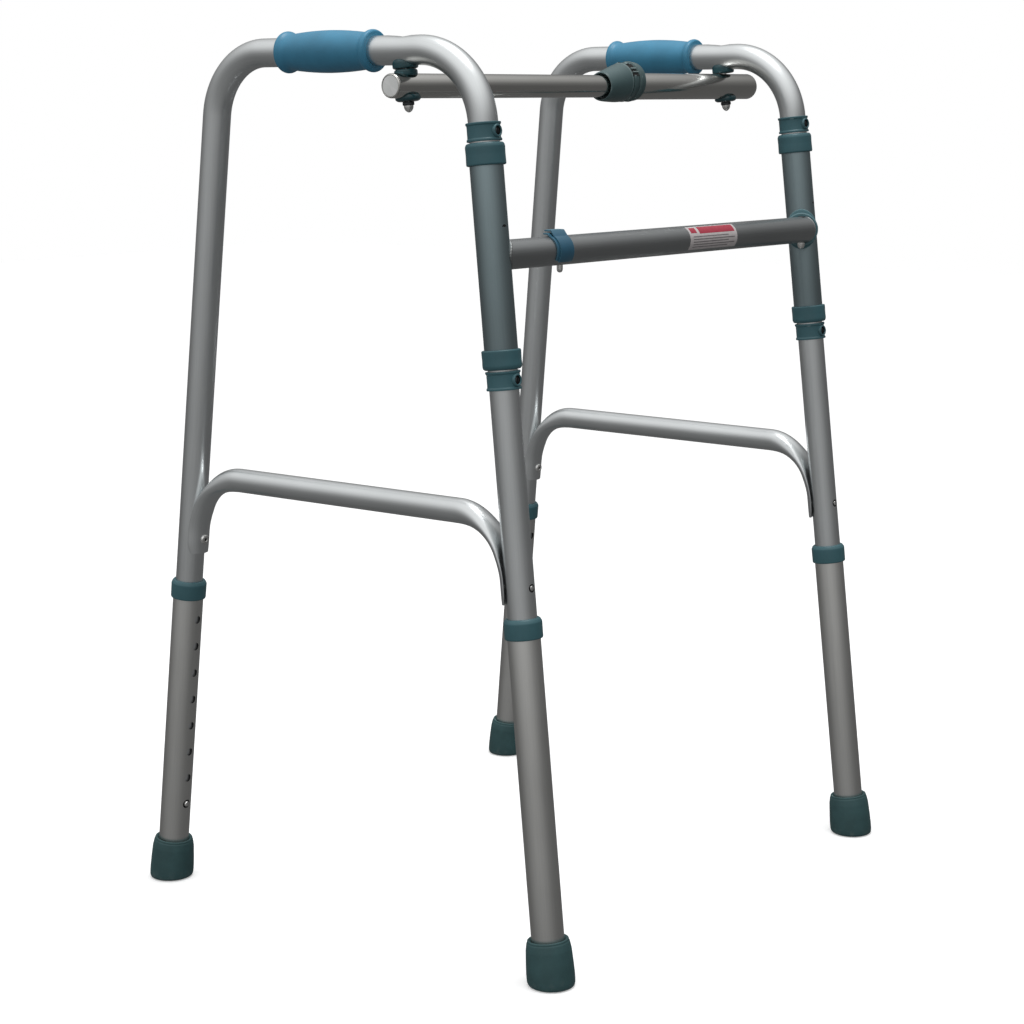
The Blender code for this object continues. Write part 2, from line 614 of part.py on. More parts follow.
def make_top_bar(inner_body, outer_body):
    matrix = bar_matrix()
    slot = "satin_aluminium"
    inner = pipe("top_bar_inner_tube", *INNER_SPAN, INNER_R, INNER_BORE, slot, matrix, inner_body)
    outer = pipe("top_bar_outer_tube", *OUTER_SPAN, OUTER_R, OUTER_BORE, slot, matrix, outer_body)
    for tube, side in ((inner, -1), (outer, 1)):
        hole = rod_cutter(f"cut_bar_bolt_{side}", 3.3 * MM, -30 * MM, 30 * MM, pivot_matrix(side))
        combine(tube, "DIFFERENCE", hole)
    latch_hole = rod_cutter("cut_latch_hole", 3.3 * MM, 5 * MM, 20 * MM, latch_matrix())
    combine(outer, "DIFFERENCE", latch_hole)
    flange, depth = 1.3 * MM, 12 * MM
    near, far = INNER_SPAN[0], OUTER_SPAN[1]
    plug = [(INNER_R - 0.6 * MM, near - GAP - flange), (INNER_R, near - GAP - flange / 2),
            (INNER_R, near - GAP), (INNER_BORE - GAP, near - GAP), (INNER_BORE - GAP, near + depth)]
    turned("inner_tube_plug", plug, False, slot, matrix, inner_body)
    plug = [(OUTER_BORE - GAP, far - depth), (OUTER_BORE - GAP, far + GAP), (OUTER_R, far + GAP),
            (OUTER_R, far + GAP + flange / 2), (OUTER_R - 0.6 * MM, far + GAP + flange)]
    turned("outer_tube_plug", plug, False, slot, matrix, outer_body)


def latch_matrix():
    return Matrix.Translation(bar_matrix() @ Vector((0, 0, LATCH_X)))


def make_lock(outer_body, ring_body, latch_body):
    """Flared lock housing on the outer tube, its pull ring, and the latch between them."""
    matrix = bar_matrix()
    stretch = 0.92
    shape = [(12.8, 0, 0.0), (13.6, 1, 0.0), (15.6, 14, 0.3), (17.8, 28, 0.75)]
    shape += [(19, 36, 1.0), (19.2, 42, 1.0)]
    rings = [lock_ring_points(r * MM, LOCK_X + x * MM, rise, stretch) for r, x, rise in shape]
    end, step = LOCK_X + LOCK_LENGTH, OUTER_SPAN[0] - GAP
    wide, tight = OUTER_R + GAP, INNER_R + 1.1 * MM
    for radius, x in ((wide, end), (wide, step), (tight, step), (tight, LOCK_X)):
        rings.append(circle(radius, x, LOCK_SIDES))
    housing = add_object("lock_housing", rings, True, "teal_plastic", matrix, outer_body)
    well = rod_cutter("cut_lock_well", 4.3 * MM, 8 * MM, 40 * MM, latch_matrix(), 16)
    combine(housing, "DIFFERENCE", well)
    start = end + 0.5 * MM
    shape = [(18.6, 0), (19.4, 0.8), (19.4, 3.2), (17.8, 4), (17.8, 5), (19.2, 5.8), (19.2, 8.6), (18.2, 9.6)]
    rings = [lock_ring_points(r * MM, start + x * MM, 1.0, stretch) for r, x in shape]
    rings += [circle(wide, start + 9.6 * MM, LOCK_SIDES), circle(wide, start, LOCK_SIDES)]
    add_object("lock_ring", rings, True, "teal_plastic", matrix, ring_body)
    stem = [(2.9 * MM, INNER_R + 0.6 * MM), (2.9 * MM, 14.6 * MM), (3.8 * MM, 15 * MM),
            (3.8 * MM, 20.4 * MM), (3 * MM, 21 * MM)]
    turned("lock_latch", stem, False, "dark_steel", latch_matrix(), latch_body, SMALL)


def lock_ring_points(radius, x, rise, stretch):
    """An upright oval round the crossbar, lifted by its share of the housing's rise."""
    turns = [math.tau * i / LOCK_SIDES for i in range(LOCK_SIDES)]
    lift = LOCK_RISE * rise
    width = 1 - (1 - stretch) * rise
    return [Vector((radius * width * math.cos(a), radius * math.sin(a) + lift, x)) for a in turns]


def main():
    clear_scene()
    make_materials()
    inner_body = axis_empty("top_bar_inner_axis", pivot_matrix(-1))
    outer_body = axis_empty("top_bar_outer_axis", pivot_matrix(1))
    for word, side in SIDES.items():
        fold = axis_empty(f"{word}_fold_axis", leg_matrix(side, -1))
        make_side_frame(word, side, fold, outer_body if side > 0 else inner_body)
        make_legs(word, side, fold)
        make_bushes(word, side)
    make_low_bar()
    make_top_bar(inner_body, outer_body)
    ring_body = axis_empty("lock_ring_slide", bar_matrix() @ Matrix.Translation((0, 0, LOCK_X)))
    latch_body = axis_empty("lock_latch_lift", latch_matrix())
    make_lock(outer_body, ring_body, latch_body)


main()
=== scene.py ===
"""Looks of the folding walking frame: fine meshes, materials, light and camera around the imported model.

Metres, +Z up, the walking direction is -Y. "right" is the walking person's right hand, at -X.
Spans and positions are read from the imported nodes, joints and mounts.
"""
import json
import math

import bmesh
import bpy
from mathutils import Matrix, Vector


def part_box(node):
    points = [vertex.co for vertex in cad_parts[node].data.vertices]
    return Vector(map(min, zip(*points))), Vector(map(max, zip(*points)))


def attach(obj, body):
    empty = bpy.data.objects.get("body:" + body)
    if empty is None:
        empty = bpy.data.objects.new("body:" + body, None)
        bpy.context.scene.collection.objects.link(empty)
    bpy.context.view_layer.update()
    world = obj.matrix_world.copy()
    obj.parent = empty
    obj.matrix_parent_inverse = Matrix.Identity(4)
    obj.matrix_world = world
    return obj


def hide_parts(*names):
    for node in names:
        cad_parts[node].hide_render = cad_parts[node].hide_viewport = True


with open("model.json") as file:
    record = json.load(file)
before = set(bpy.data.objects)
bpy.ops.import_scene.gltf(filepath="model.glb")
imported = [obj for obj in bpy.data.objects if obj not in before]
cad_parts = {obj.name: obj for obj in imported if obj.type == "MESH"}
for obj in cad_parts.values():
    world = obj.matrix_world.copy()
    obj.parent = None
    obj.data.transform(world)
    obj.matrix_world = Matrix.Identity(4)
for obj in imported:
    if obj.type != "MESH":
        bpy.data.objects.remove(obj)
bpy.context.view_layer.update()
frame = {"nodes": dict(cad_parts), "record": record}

MM = 0.001
RECORD = frame["record"]
JOINTS = {joint["name"]: joint for joint in RECORD["behaviour"]["joints"]}
MOUNTS = {mount["name"]: mount for mount in RECORD["mounts"]}
NODE_BODY = {node: body for body, nodes in RECORD["behaviour"]["bodies"].items() for node in nodes}
NODE_SLOT = {row["node"]: row["material_slot"] for row in RECORD["subparts"]}

SIDES = {"right": -1, "left": 1}
ENDS = {"front": -1, "rear": 1}
UP = Vector((0, 0, 1))

# ---- sizes shared by several pieces ----
TUBE_R = 12.7 * MM
SLEEVE_R = 14.3 * MM
SLEEVE_BORE = 13.1 * MM
INNER_R = 10.5 * MM
OUTER_R = 12.7 * MM
LOW_BAR_R = 12.7 * MM
LOW_BAR_BORE = 11.4 * MM
FRONT_BEND = 67 * MM
REAR_BEND = 61 * MM
BRACE_R = 11 * MM
BRACE_BEND = 38 * MM
BRACE_FLAT = 20 * MM
BRACE_FADE = 75 * MM
CUP_THICKNESS = 3.6 * MM
CUP_GAP = 0.6 * MM
HOLE_PITCH = 26.5 * MM
HOLE_COUNT = 8
HOLE_R = 3.6 * MM
BUTTON_HOLE_R = 4.2 * MM
BUTTON_AXIS = 8.1 * MM           # above the lowest point of the button's spring
BOLT_HEAD_RISE = 41 * MM         # above the top crossbar's axis
BAR_BOLT_INSET = 7.5 * MM
CLIP_PIN_AT = 86.5 * MM          # along the lower crossbar from the right leg's axis
DRAIN_HOLE_RISE = 24 * MM        # above the lower crossbar's axis
LABEL_ENDS = (13.3, 87.3)        # mm along +X

ROUND = 64                       # sides of the large round pieces
FINE = 96                        # of the extensions, sleeves and crossbars
SMALL = 32                       # of the fasteners and other small pieces


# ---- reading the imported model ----
def local_box(node, matrix):
    """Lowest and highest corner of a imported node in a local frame."""
    to_local = matrix.inverted()
    points = [to_local @ vertex.co for vertex in frame["nodes"][node].data.vertices]
    lows = Vector([min(point[i] for point in points) for i in range(3)])
    highs = Vector([max(point[i] for point in points) for i in range(3)])
    return lows, highs


def span(node, matrix):
    """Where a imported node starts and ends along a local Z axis."""
    low, high = local_box(node, matrix)
    return low.z, high.z


def span_mm(node, matrix):
    return [value / MM for value in span(node, matrix)]


def matrix_from(origin, x, y, z):
    turn = Matrix((x, y, z)).transposed().to_4x4()
    return Matrix.Translation(origin) @ turn


def look_along(origin, direction, up=UP):
    """A frame at origin whose +Z is direction and whose +Y is as near to up as it can be."""
    z = direction.normalized()
    x = up.cross(z).normalized()
    return matrix_from(origin, x, z.cross(x), z)


def foot_point(word, end_word):
    return Vector(MOUNTS[f"{word}_{end_word}_foot_face"]["pos_m"])


def leg_rise(word, end_word):
    return -Vector(JOINTS[f"{word}_{end_word}_leg_slide"]["axis"]).normalized()


def side_frame(word):
    """A side frame's own plane: local Y runs back, local Z up the plane, origin on the floor."""
    front, rear = foot_point(word, "front"), foot_point(word, "rear")
    y = (rear - front).normalized()
    z = (leg_rise(word, "front") + leg_rise(word, "rear")).normalized()
    return matrix_from((front + rear) / 2, y.cross(z), y, z)


def leg_frame(word, end_word):
    """+Z up the leg's axis from the floor, +Y towards the rear."""
    x = side_frame(word).to_3x3().col[0]
    z = leg_rise(word, end_word)
    return matrix_from(foot_point(word, end_word), x, z.cross(x), z)


def grip_frame(word):
    """+Z to the rear on the top tube's axis, from the grip's front end. Also the grip's length."""
    plane = side_frame(word)
    low, high = local_box(f"{word}_grip", plane)
    start = plane @ Vector((0, low.y, (low.z + high.z) / 2))
    return look_along(start, plane.to_3x3().col[1]), high.y - low.y


def pivot_frame(word):
    """On the top crossbar's bolt, at the bar's axis, +Z parallel to the front leg."""
    joint = JOINTS[f"top_bar_{word}_pivot"]
    turn = leg_frame(word, "front").to_3x3().to_4x4()
    return Matrix.Translation(Vector(joint["pos_m"])) @ turn


def bar_frame():
    """+Z along +X on the top crossbar's axis, +Y up."""
    pivot = pivot_frame("left").translation
    return look_along(Vector((0, pivot.y, pivot.z)), Vector((1, 0, 0)))


def button_frame(word, end_word):
    """Across a leg at its snap button: +Z faces the other leg of the same side frame."""
    joint = JOINTS[f"{word}_{end_word}_button_press"]
    leg = leg_frame(word, end_word)
    low, _ = span(f"{word}_{end_word}_snap_button", leg)
    return look_along(leg @ Vector((0, 0, low + BUTTON_AXIS)), -Vector(joint["axis"]))


def box_centre(node):
    low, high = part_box(node)
    return (Vector(low) + Vector(high)) / 2


def low_bar_frame():
    """+Z along the lower crossbar from the right leg's axis, +Y up. Also its length."""
    height = box_centre("bar_end_saddle").z
    leg = leg_frame("right", "front")
    rise = leg_rise("right", "front")
    start = leg.translation + rise * (height / rise.z)
    bolt = box_centre("bar_end_bolt")
    bolt.z = height
    return look_along(start, bolt - start), (bolt - start).length + BAR_BOLT_INSET


# ---- mesh helpers ----
def finish_mesh(item, angle=32):
    item.data.shade_smooth()
    item.data.set_sharp_from_angle(angle=math.radians(angle))


def skin(name, rings, closed=False, matrix=Matrix()):
    """Skin rings of points, in their own frame, with a UV map in metres along and around."""
    mesh_data = bmesh.new()
    uv_layer = mesh_data.loops.layers.uv.new("along_around")
    rows = [[mesh_data.verts.new(matrix @ point) for point in ring] for ring in rings]
    order = list(range(len(rows))) + ([0] if closed else [])
    count = len(rows[0])
    girth = max(sum((ring[i] - ring[i - 1]).length for i in range(count)) for ring in rings)
    travelled = 0.0
    for low, high in zip(order, order[1:]):
        step = max((rows[low][i].co - rows[high][i].co).length for i in range(0, count, 4))
        for i in range(count):
            j = (i + 1) % count
            face = mesh_data.faces.new((rows[low][i], rows[low][j], rows[high][j], rows[high][i]))
            across = (i * girth / count, (i + 1) * girth / count)
            corners = ((travelled, across[0]), (travelled, across[1]),
                       (travelled + step, across[1]), (travelled + step, across[0]))
            for loop, corner in zip(face.loops, corners):
                loop[uv_layer].uv = corner
        travelled += step
    if not closed:
        mesh_data.faces.new(list(reversed(rows[0])))
        mesh_data.faces.new(rows[-1])
    bmesh.ops.recalc_face_normals(mesh_data, faces=mesh_data.faces)
    mesh = bpy.data.meshes.new(name)
    mesh_data.to_mesh(mesh)
    mesh_data.free()
    item = bpy.data.objects.new(name, mesh)
    bpy.context.collection.objects.link(item)
    finish_mesh(item)
    return item


def turns(count=ROUND):
    """Evenly spaced angles round a circle."""
    return [math.tau * i / count for i in range(count)]


def circle(radius, height, count=ROUND):
    return [Vector((radius * math.cos(a), radius * math.sin(a), height)) for a in turns(count)]


def soften(points, radius, closed=False, steps=4):
    """Round each corner of a polyline with a short curve."""
    points = [Vector(point) for point in points]
    count = len(points)
    result = []
    for i, point in enumerate(points):
        if not closed and i in (0, count - 1):
            result.append(point)
            continue
        before, after = points[i - 1], points[(i + 1) % count]
        back, ahead = before - point, after - point
        cut = min(radius, back.length * 0.48, ahead.length * 0.48)
        start, stop = point + back.normalized() * cut, point + ahead.normalized() * cut
        for k in range(steps + 1):
            t = k / steps
            result.append(start * (1 - t) ** 2 + point * 2 * t * (1 - t) + stop * t ** 2)
    return result


def turned(name, profile, matrix, closed=True, count=ROUND, fillet=0.4):
    """A solid of revolution from (radius, height) points in millimetres, with its corners rounded."""
    outline = soften([(radius * MM, height * MM) for radius, height in profile], fillet * MM, closed)
    rings = [circle(max(point.x, 1e-5), point.y, count) for point in outline]
    return skin(name, rings, closed, matrix)


def pipe(outer, bore, low, high):
    """A plain tube's profile."""
    return [(outer, low), (outer, high), (bore, high), (bore, low)]


def rod(name, radius, low, high, matrix, count=SMALL):
    """A plain cylinder, for cutting with."""
    return skin(name, [circle(radius, low, count), circle(radius, high, count)], False, matrix)


def block(name, matrix, half_mm):
    """A box with the given half sizes in millimetres."""
    x, y, z = (value * MM for value in half_mm)
    rings = [[Vector((sx * x, sy * y, sz * z)) for sx, sy in ((-1, -1), (1, -1), (1, 1), (-1, 1))]
             for sz in (-1, 1)]
    return skin(name, rings, False, matrix)


def on_tube(name, matrix, tube_r, outline):
    """Rings of (radius, height above the tube) in millimetres, laid on a tube that runs along local Y."""
    rings = []
    for radius, lift in outline:
        ring = circle(max(radius, 0.01) * MM, 0, SMALL)
        for point in ring:
            point.z = math.sqrt(tube_r ** 2 - point.x ** 2) + lift * MM
        rings.append(ring)
    return skin(name, rings, False, matrix)


def carve(item, *cutters):
    """Cut shapes out of a piece for good, and delete them."""
    for cutter in cutters:
        modifier = item.modifiers.new("carve", "BOOLEAN")
        modifier.solver = "EXACT"
        modifier.object = cutter
    bpy.context.view_layer.update()
    graph = bpy.context.evaluated_depsgraph_get()
    mesh = bpy.data.meshes.new_from_object(item.evaluated_get(graph))
    item.modifiers.clear()
    item.data = mesh
    for cutter in cutters:
        bpy.data.objects.remove(cutter)
    finish_mesh(item)


def smooth_curve(keys, steps=6):
    """A Catmull-Rom curve through 2-D keys."""
    keys = [Vector(key) for key in keys]
    padded = [keys[0] * 2 - keys[1], *keys, keys[-1] * 2 - keys[-2]]
    points = []
    for a, b, c, d in zip(padded, padded[1:], padded[2:], padded[3:]):
        for k in range(steps):
            t = k / steps
            points.append(0.5 * (2 * b + (c - a) * t + (2 * a - 5 * b + 4 * c - d) * t ** 2
                                 + (3 * b - a - 3 * c + d) * t ** 3))
    points.append(keys[-1])
    return points


def filleted(corners, radii, steps=26, spacing=9 * MM):
    """Stations (point, tangent, distance) along a polyline in the YZ plane with rounded corners."""
    stations = [(corners[0], (corners[1] - corners[0]).normalized())]
    for before, corner, after, radius in zip(corners, corners[1:], corners[2:], radii):
        into = (corner - before).normalized()
        out = (after - corner).normalized()
        turn = into.angle(out)
        start = corner - into * radius * math.tan(turn / 2)
        axis = into.cross(out).normalized()
        centre = start + axis.cross(into) * radius
        for k in range(steps + 1):
            spin = Matrix.Rotation(turn * k / steps, 3, axis)
            stations.append((centre + spin @ (start - centre), spin @ into))
    stations.append((corners[-1], (corners[-1] - corners[-2]).normalized()))
    result = [(*stations[0], 0.0)]
    for (a, _), (b, tangent) in zip(stations, stations[1:]):
        pieces = max(1, round((b - a).length / spacing))
        for k in range(1, pieces + 1):
            point = a.lerp(b, k / pieces)
            way = tangent if k == pieces else result[-1][1]
            result.append((point, way, result[-1][2] + (b - a).length / pieces))
    return result


# ---- materials ----
class NodeKit:
    """Short calls for the node tree of a material or a world."""

    def __init__(self, owner):
        owner.use_nodes = True
        self.owner = owner
        self.nodes, self.links = owner.node_tree.nodes, owner.node_tree.links
        self.coords = self.nodes.new("ShaderNodeTexCoord").outputs

    def feed(self, socket, value):
        """Link another node's output to an input, or set the input's own number or colour."""
        if isinstance(value, bpy.types.NodeSocket):
            self.links.new(value, socket)
        else:
            socket.default_value = (*value, 1) if isinstance(value, tuple) else value

    def put(self, name, value):
        """Feed an input of the surface shader."""
        self.feed(self.nodes["Principled BSDF"].inputs[name], value)

    def noise(self, scale, detail=3.0, coords="Object", stretch=None):
        """A noise texture, optionally stretched."""
        vector = self.coords[coords]
        if stretch:
            mapping = self.nodes.new("ShaderNodeMapping")
            mapping.inputs["Scale"].default_value = stretch
            self.links.new(vector, mapping.inputs["Vector"])
            vector = mapping.outputs["Vector"]
        texture = self.nodes.new("ShaderNodeTexNoise")
        texture.inputs["Scale"].default_value = scale
        texture.inputs["Detail"].default_value = detail
        self.links.new(vector, texture.inputs["Vector"])
        return texture.outputs["Fac"]

    def ramp(self, value, low, high, start=0.3, stop=0.7):
        """Map a value to a colour or a grey between two stops."""
        node = self.nodes.new("ShaderNodeValToRGB")
        first, last = node.color_ramp.elements
        first.position, last.position = start, stop
        for element, tone in ((first, low), (last, high)):
            element.color = (*tone, 1) if isinstance(tone, tuple) else (tone, tone, tone, 1)
        self.links.new(value, node.inputs["Fac"])
        return node.outputs["Color"]

    def mottle(self, value, colour, share, stop=0.7):
        """The colour, darkened to the given share of it where the value is low."""
        return self.ramp(value, tuple(c * share for c in colour), colour, 0.3, stop)

    def wear_and_highlight_edges(self, amount, stop):
        """How much a point is paled by wear and a painted highlight: up to the given amount on convex edges.
        """
        geometry = self.nodes.new("ShaderNodeNewGeometry")
        return self.ramp(geometry.outputs["Pointiness"], 0.0, amount, 0.52, stop)

    def mix(self, factor, first, second, blend="MIX"):
        """Mix two colours."""
        node = self.nodes.new("ShaderNodeMix")
        node.data_type = "RGBA"
        node.blend_type = blend
        self.feed(node.inputs["Factor"], factor)
        for name, value in (("A", first), ("B", second)):
            self.feed(next(s for s in node.inputs if s.name == name and s.type == "RGBA"), value)
        return next(s for s in node.outputs if s.type == "RGBA")

    def bump(self, height, strength, distance):
        node = self.nodes.new("ShaderNodeBump")
        node.inputs["Strength"].default_value = strength
        node.inputs["Distance"].default_value = distance
        self.links.new(height, node.inputs["Height"])
        self.put("Normal", node.outputs["Normal"])


def new_material(name):
    return NodeKit(bpy.data.materials.new(name))


def tube_metal(name, colour, share, roughness):
    """Anodised tube: faint drawing lines along it, soft clouding and a very fine grain."""
    kit = new_material(name)
    kit.put("Metallic", 1.0)
    lines = kit.noise(1400, 4, "UV", (0.015, 1.0, 1.0))
    base = kit.mottle(kit.noise(14, 4), colour, share)
    streaks = kit.ramp(lines, 0.955, 1.0, 0.35, 0.65)
    kit.put("Base Color", kit.mix(1.0, base, streaks, "MULTIPLY"))
    kit.put("Roughness", kit.ramp(lines, roughness - 0.02, roughness + 0.03))
    kit.bump(kit.noise(2600, 2), 0.05, 0.04 * MM)
    return kit.owner


def moulded(name, colour, light, roughness, grain_scale=700, grain=0.25, edge=0.5):
    """Moulded plastic: fine grain, slight clouding and paler convex edges, partly wear and partly a painted
    highlight.
    """
    kit = new_material(name)
    fine = kit.noise(grain_scale)
    base = kit.mottle(kit.noise(40, 4), colour, 0.82)
    # convex edges paled: partly wear, partly a painted highlight
    kit.put("Base Color", kit.mix(kit.wear_and_highlight_edges(edge, 0.6), base, light))
    kit.put("Roughness", kit.ramp(fine, roughness - 0.02, roughness + 0.04))
    kit.bump(fine, grain, 0.15 * MM)
    return kit.owner


def scuffed_rubber(name, darkest, colour, wear_highlight_colour, dusty):
    """Foot rubber: matt, with paler edges that are partly wear and partly a painted highlight, and a dusty,
    scuffed band just above the floor.
    """
    kit = new_material(name)
    split = kit.nodes.new("ShaderNodeSeparateXYZ")
    kit.links.new(kit.coords["Object"], split.inputs["Vector"])
    height = kit.nodes.new("ShaderNodeMapRange")
    height.inputs["From Min"].default_value = 12 * MM
    height.inputs["From Max"].default_value = 0.0
    kit.links.new(split.outputs["Z"], height.inputs["Value"])
    scuffs = kit.ramp(kit.noise(160, 5), 0.0, 0.35, 0.5, 0.75)
    dust = kit.mix(1.0, scuffs, height.outputs["Result"], "MULTIPLY")
    base = kit.ramp(kit.noise(50, 4), darkest, colour)
    # paler edges: partly wear, partly a painted highlight on the lip
    edged = kit.mix(kit.wear_and_highlight_edges(0.7, 0.58), base, wear_highlight_colour)
    kit.put("Base Color", kit.mix(dust, edged, dusty))
    fine = kit.noise(900)
    kit.put("Roughness", kit.ramp(fine, 0.5, 0.66))
    kit.bump(fine, 0.3, 0.2 * MM)
    return kit.owner


def fastener_metal(name, colour, roughness):
    """Plated steel with tiny pits."""
    kit = new_material(name)
    kit.put("Metallic", 1.0)
    pits = kit.noise(800, 4)
    kit.put("Base Color", kit.mottle(pits, colour, 0.75, 0.6))
    kit.put("Roughness", kit.ramp(pits, roughness, roughness + 0.15, 0.3, 0.8))
    kit.bump(pits, 0.15, 0.08 * MM)
    return kit.owner


def printed(name, colour):
    """Label film: plain ink with a faint mottle."""
    kit = new_material(name)
    kit.put("Roughness", 0.38)
    kit.put("Base Color", kit.mottle(kit.noise(260), colour, 0.86))
    return kit.owner


FINISHES = (
    (tube_metal, {          # colour, its darkest share, roughness
        "satin_tube": ((0.72, 0.745, 0.75), 0.95, 0.3),
        "leg_tube": ((0.71, 0.71, 0.69), 0.94, 0.33),
        "sleeve_tube": ((0.29, 0.365, 0.385), 0.93, 0.34),
        "bar_tube": ((0.6, 0.595, 0.57), 0.95, 0.13),
        "weld_metal": ((0.27, 0.28, 0.28), 0.93, 0.55),
        "crossbar_tube": ((0.37, 0.385, 0.39), 0.93, 0.36),
        # hole_shade: near-black metal, painted shade on the walls of the height holes
        "hole_shade": ((0.05, 0.05, 0.05), 0.9, 0.5),
    }),
    (moulded, {             # colour, colour of edges paled by wear and painted highlight, roughness, then the grain's scale, its depth, and the share of edge wear and painted highlight
        "grip_vinyl": ((0.048, 0.25, 0.41), (0.12, 0.36, 0.5), 0.42, 520, 0.3, 0.3),
        "teal_plastic": ((0.048, 0.14, 0.165), (0.34, 0.48, 0.5), 0.4, 520, 0.1),
        "saddle_plastic": ((0.018, 0.075, 0.09), (0.16, 0.32, 0.36), 0.22, 500, 0.02),
        "clip_plastic": ((0.02, 0.105, 0.18), (0.2, 0.4, 0.46), 0.32),
        "lock_plastic": ((0.06, 0.11, 0.115), (0.4, 0.5, 0.5), 0.32, 500, 0.04),
        # painted shade: near-black for sockets, gaps, pockets, holes and behind the lock's window
        "hole_black": ((0.004, 0.004, 0.005), (0.01, 0.01, 0.01), 0.8),
        "plug_pale": ((0.86, 0.88, 0.87), (0.9, 0.9, 0.9), 0.3),
    }),
    (scuffed_rubber, {      # darkest colour, colour, colour of edges paled by wear and painted highlight, dust
        "foot_rubber": ((0.024, 0.068, 0.072), (0.036, 0.096, 0.102), (0.34, 0.45, 0.46), (0.2, 0.22, 0.21)),
    }),
    (fastener_metal, {      # colour, roughness
        "bright_steel": ((0.82, 0.82, 0.8), 0.2),
        "dark_steel": ((0.07, 0.075, 0.08), 0.4),
    }),
    (printed, {             # colour
        "label_white": ((0.62, 0.58, 0.58),),
        "label_red": ((0.42, 0.03, 0.06),),
        "label_grey": ((0.22, 0.2, 0.21),),
    }),
)
MATERIALS = {name: make(name, *values) for make, rows in FINISHES for name, values in rows.items()}


def stand_for(piece, node, look=None):
    """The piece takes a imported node's place: its body, its slot and its finish."""
    piece.data.materials.clear()
    piece.data.materials.append(MATERIALS[look or NODE_SLOT[node]])
    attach(piece, NODE_BODY[node])
    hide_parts(node)


def add_trim(piece, body, look):
    """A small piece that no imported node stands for."""
    piece.data.materials.clear()
    piece.data.materials.append(MATERIALS[look])
    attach(piece, body)


# ---- side frames ----
def tube_corners(word):
    """The frame tube's four corner points, in the side frame's plane."""
    plane = side_frame(word)
    top = local_box(f"{word}_grip", plane)
    top_height = (top[0].z + top[1].z) / 2
    to_plane = plane.inverted()
    points = []
    for end_word in ENDS:
        leg = to_plane @ leg_frame(word, end_word)
        rise = leg.to_3x3().col[2]
        low, _ = span(f"{word}_frame_tube", leg_frame(word, end_word))
        end = leg.translation + rise * low
        corner = leg.translation + rise * (top_height / rise.z)
        points.append((Vector((0, end.y, end.z)), Vector((0, corner.y, top_height))))
    (front_end, front_corner), (rear_end, rear_corner) = points
    return [front_end, front_corner, rear_corner, rear_end]


def make_frame_tube(word):
    plane = side_frame(word)
    stations = filleted(tube_corners(word), (FRONT_BEND, REAR_BEND))
    rings = []
    for point, tangent, _ in stations:
        across = Vector((1, 0, 0)) * TUBE_R
        in_plane = tangent.cross(across)
        rings.append([point + across * math.cos(a) + in_plane * math.sin(a) for a in turns()])
    tube = skin(f"{word}_bent_tube", rings, False, plane)
    head = pivot_frame(word) @ Vector((0, 0, BOLT_HEAD_RISE))
    depth, reach, wall = 1.5 * MM, 7.5 * MM, 9 * MM
    for vertex in tube.data.vertices:             # the dimple round the bolt's head
        offset = vertex.co - head
        flat = Vector((offset.x * 1.15, offset.y, 0)).length
        if abs(offset.z) < wall and flat < 3 * reach:
            vertex.co.z -= depth * math.exp(-((flat / reach) ** 2))
    stand_for(tube, f"{word}_frame_tube")


def make_grip(word):
    """Moulded grip: a lip at each end, a neck beside it, and a swelling in the middle."""
    matrix, length = grip_frame(word)
    length /= MM
    keys = [(0.0, 16.6), (0.9, 17.8), (2.6, 18.3), (4.6, 18.0), (6.4, 16.9), (8.6, 16.1), (12, 16.1)]
    keys += [(20, 16.9), (34, 17.9), (length / 2, 18.4)]
    keys += [(length - along, radius) for along, radius in reversed(keys[:-1])]
    outline = [(point.y, point.x) for point in smooth_curve(keys)]
    bore = TUBE_R / MM + 0.1
    outline = [(bore + 1.2, -0.02), *outline, (bore + 1.2, length + 0.02), (bore, length), (bore, 0)]
    rings = [circle(radius * MM, along * MM) for radius, along in outline]
    grip = skin(f"{word}_moulded_grip", rings, True, matrix)
    stand_for(grip, f"{word}_grip")


def cup_section(point, tangent, half_width, half_thick, curl_radius):
    """A flattened oval, bent to an arc whose centre lies curl_radius behind the station."""
    across = Vector((1, 0, 0))
    in_plane = tangent.cross(across)
    points = []
    for turn in turns():
        angle = half_width * math.cos(turn) / curl_radius
        reach = curl_radius + half_thick * math.sin(turn)
        shift = reach * math.cos(angle) - curl_radius
        points.append(point + across * reach * math.sin(angle) + in_plane * shift)
    return points


def brace_path(word):
    """The brace's centre line in the side frame's plane, tangent to both legs."""
    plane = side_frame(word)
    to_plane = plane.inverted()
    _, high = local_box(f"{word}_brace", plane)
    level = high.z - BRACE_R
    offset = TUBE_R + CUP_GAP + BRACE_R
    lows, corners = [], []
    for end_word, end in ENDS.items():
        leg = to_plane @ leg_frame(word, end_word)
        rise = leg.to_3x3().col[2]
        rise = Vector((0, rise.y, rise.z)).normalized()
        inward = Vector((0, -end * rise.z, end * rise.y)) * offset
        floor_point = Vector((0, leg.translation.y, leg.translation.z))
        bottom, _ = span(f"{word}_brace", leg_frame(word, end_word))
        low = floor_point + rise * bottom + inward
        lows.append(low)
        corners.append(low + rise * ((level - low.z) / rise.z))
    return filleted([lows[0], corners[0], corners[1], lows[1]], (BRACE_BEND, BRACE_BEND), 24, 4 * MM)


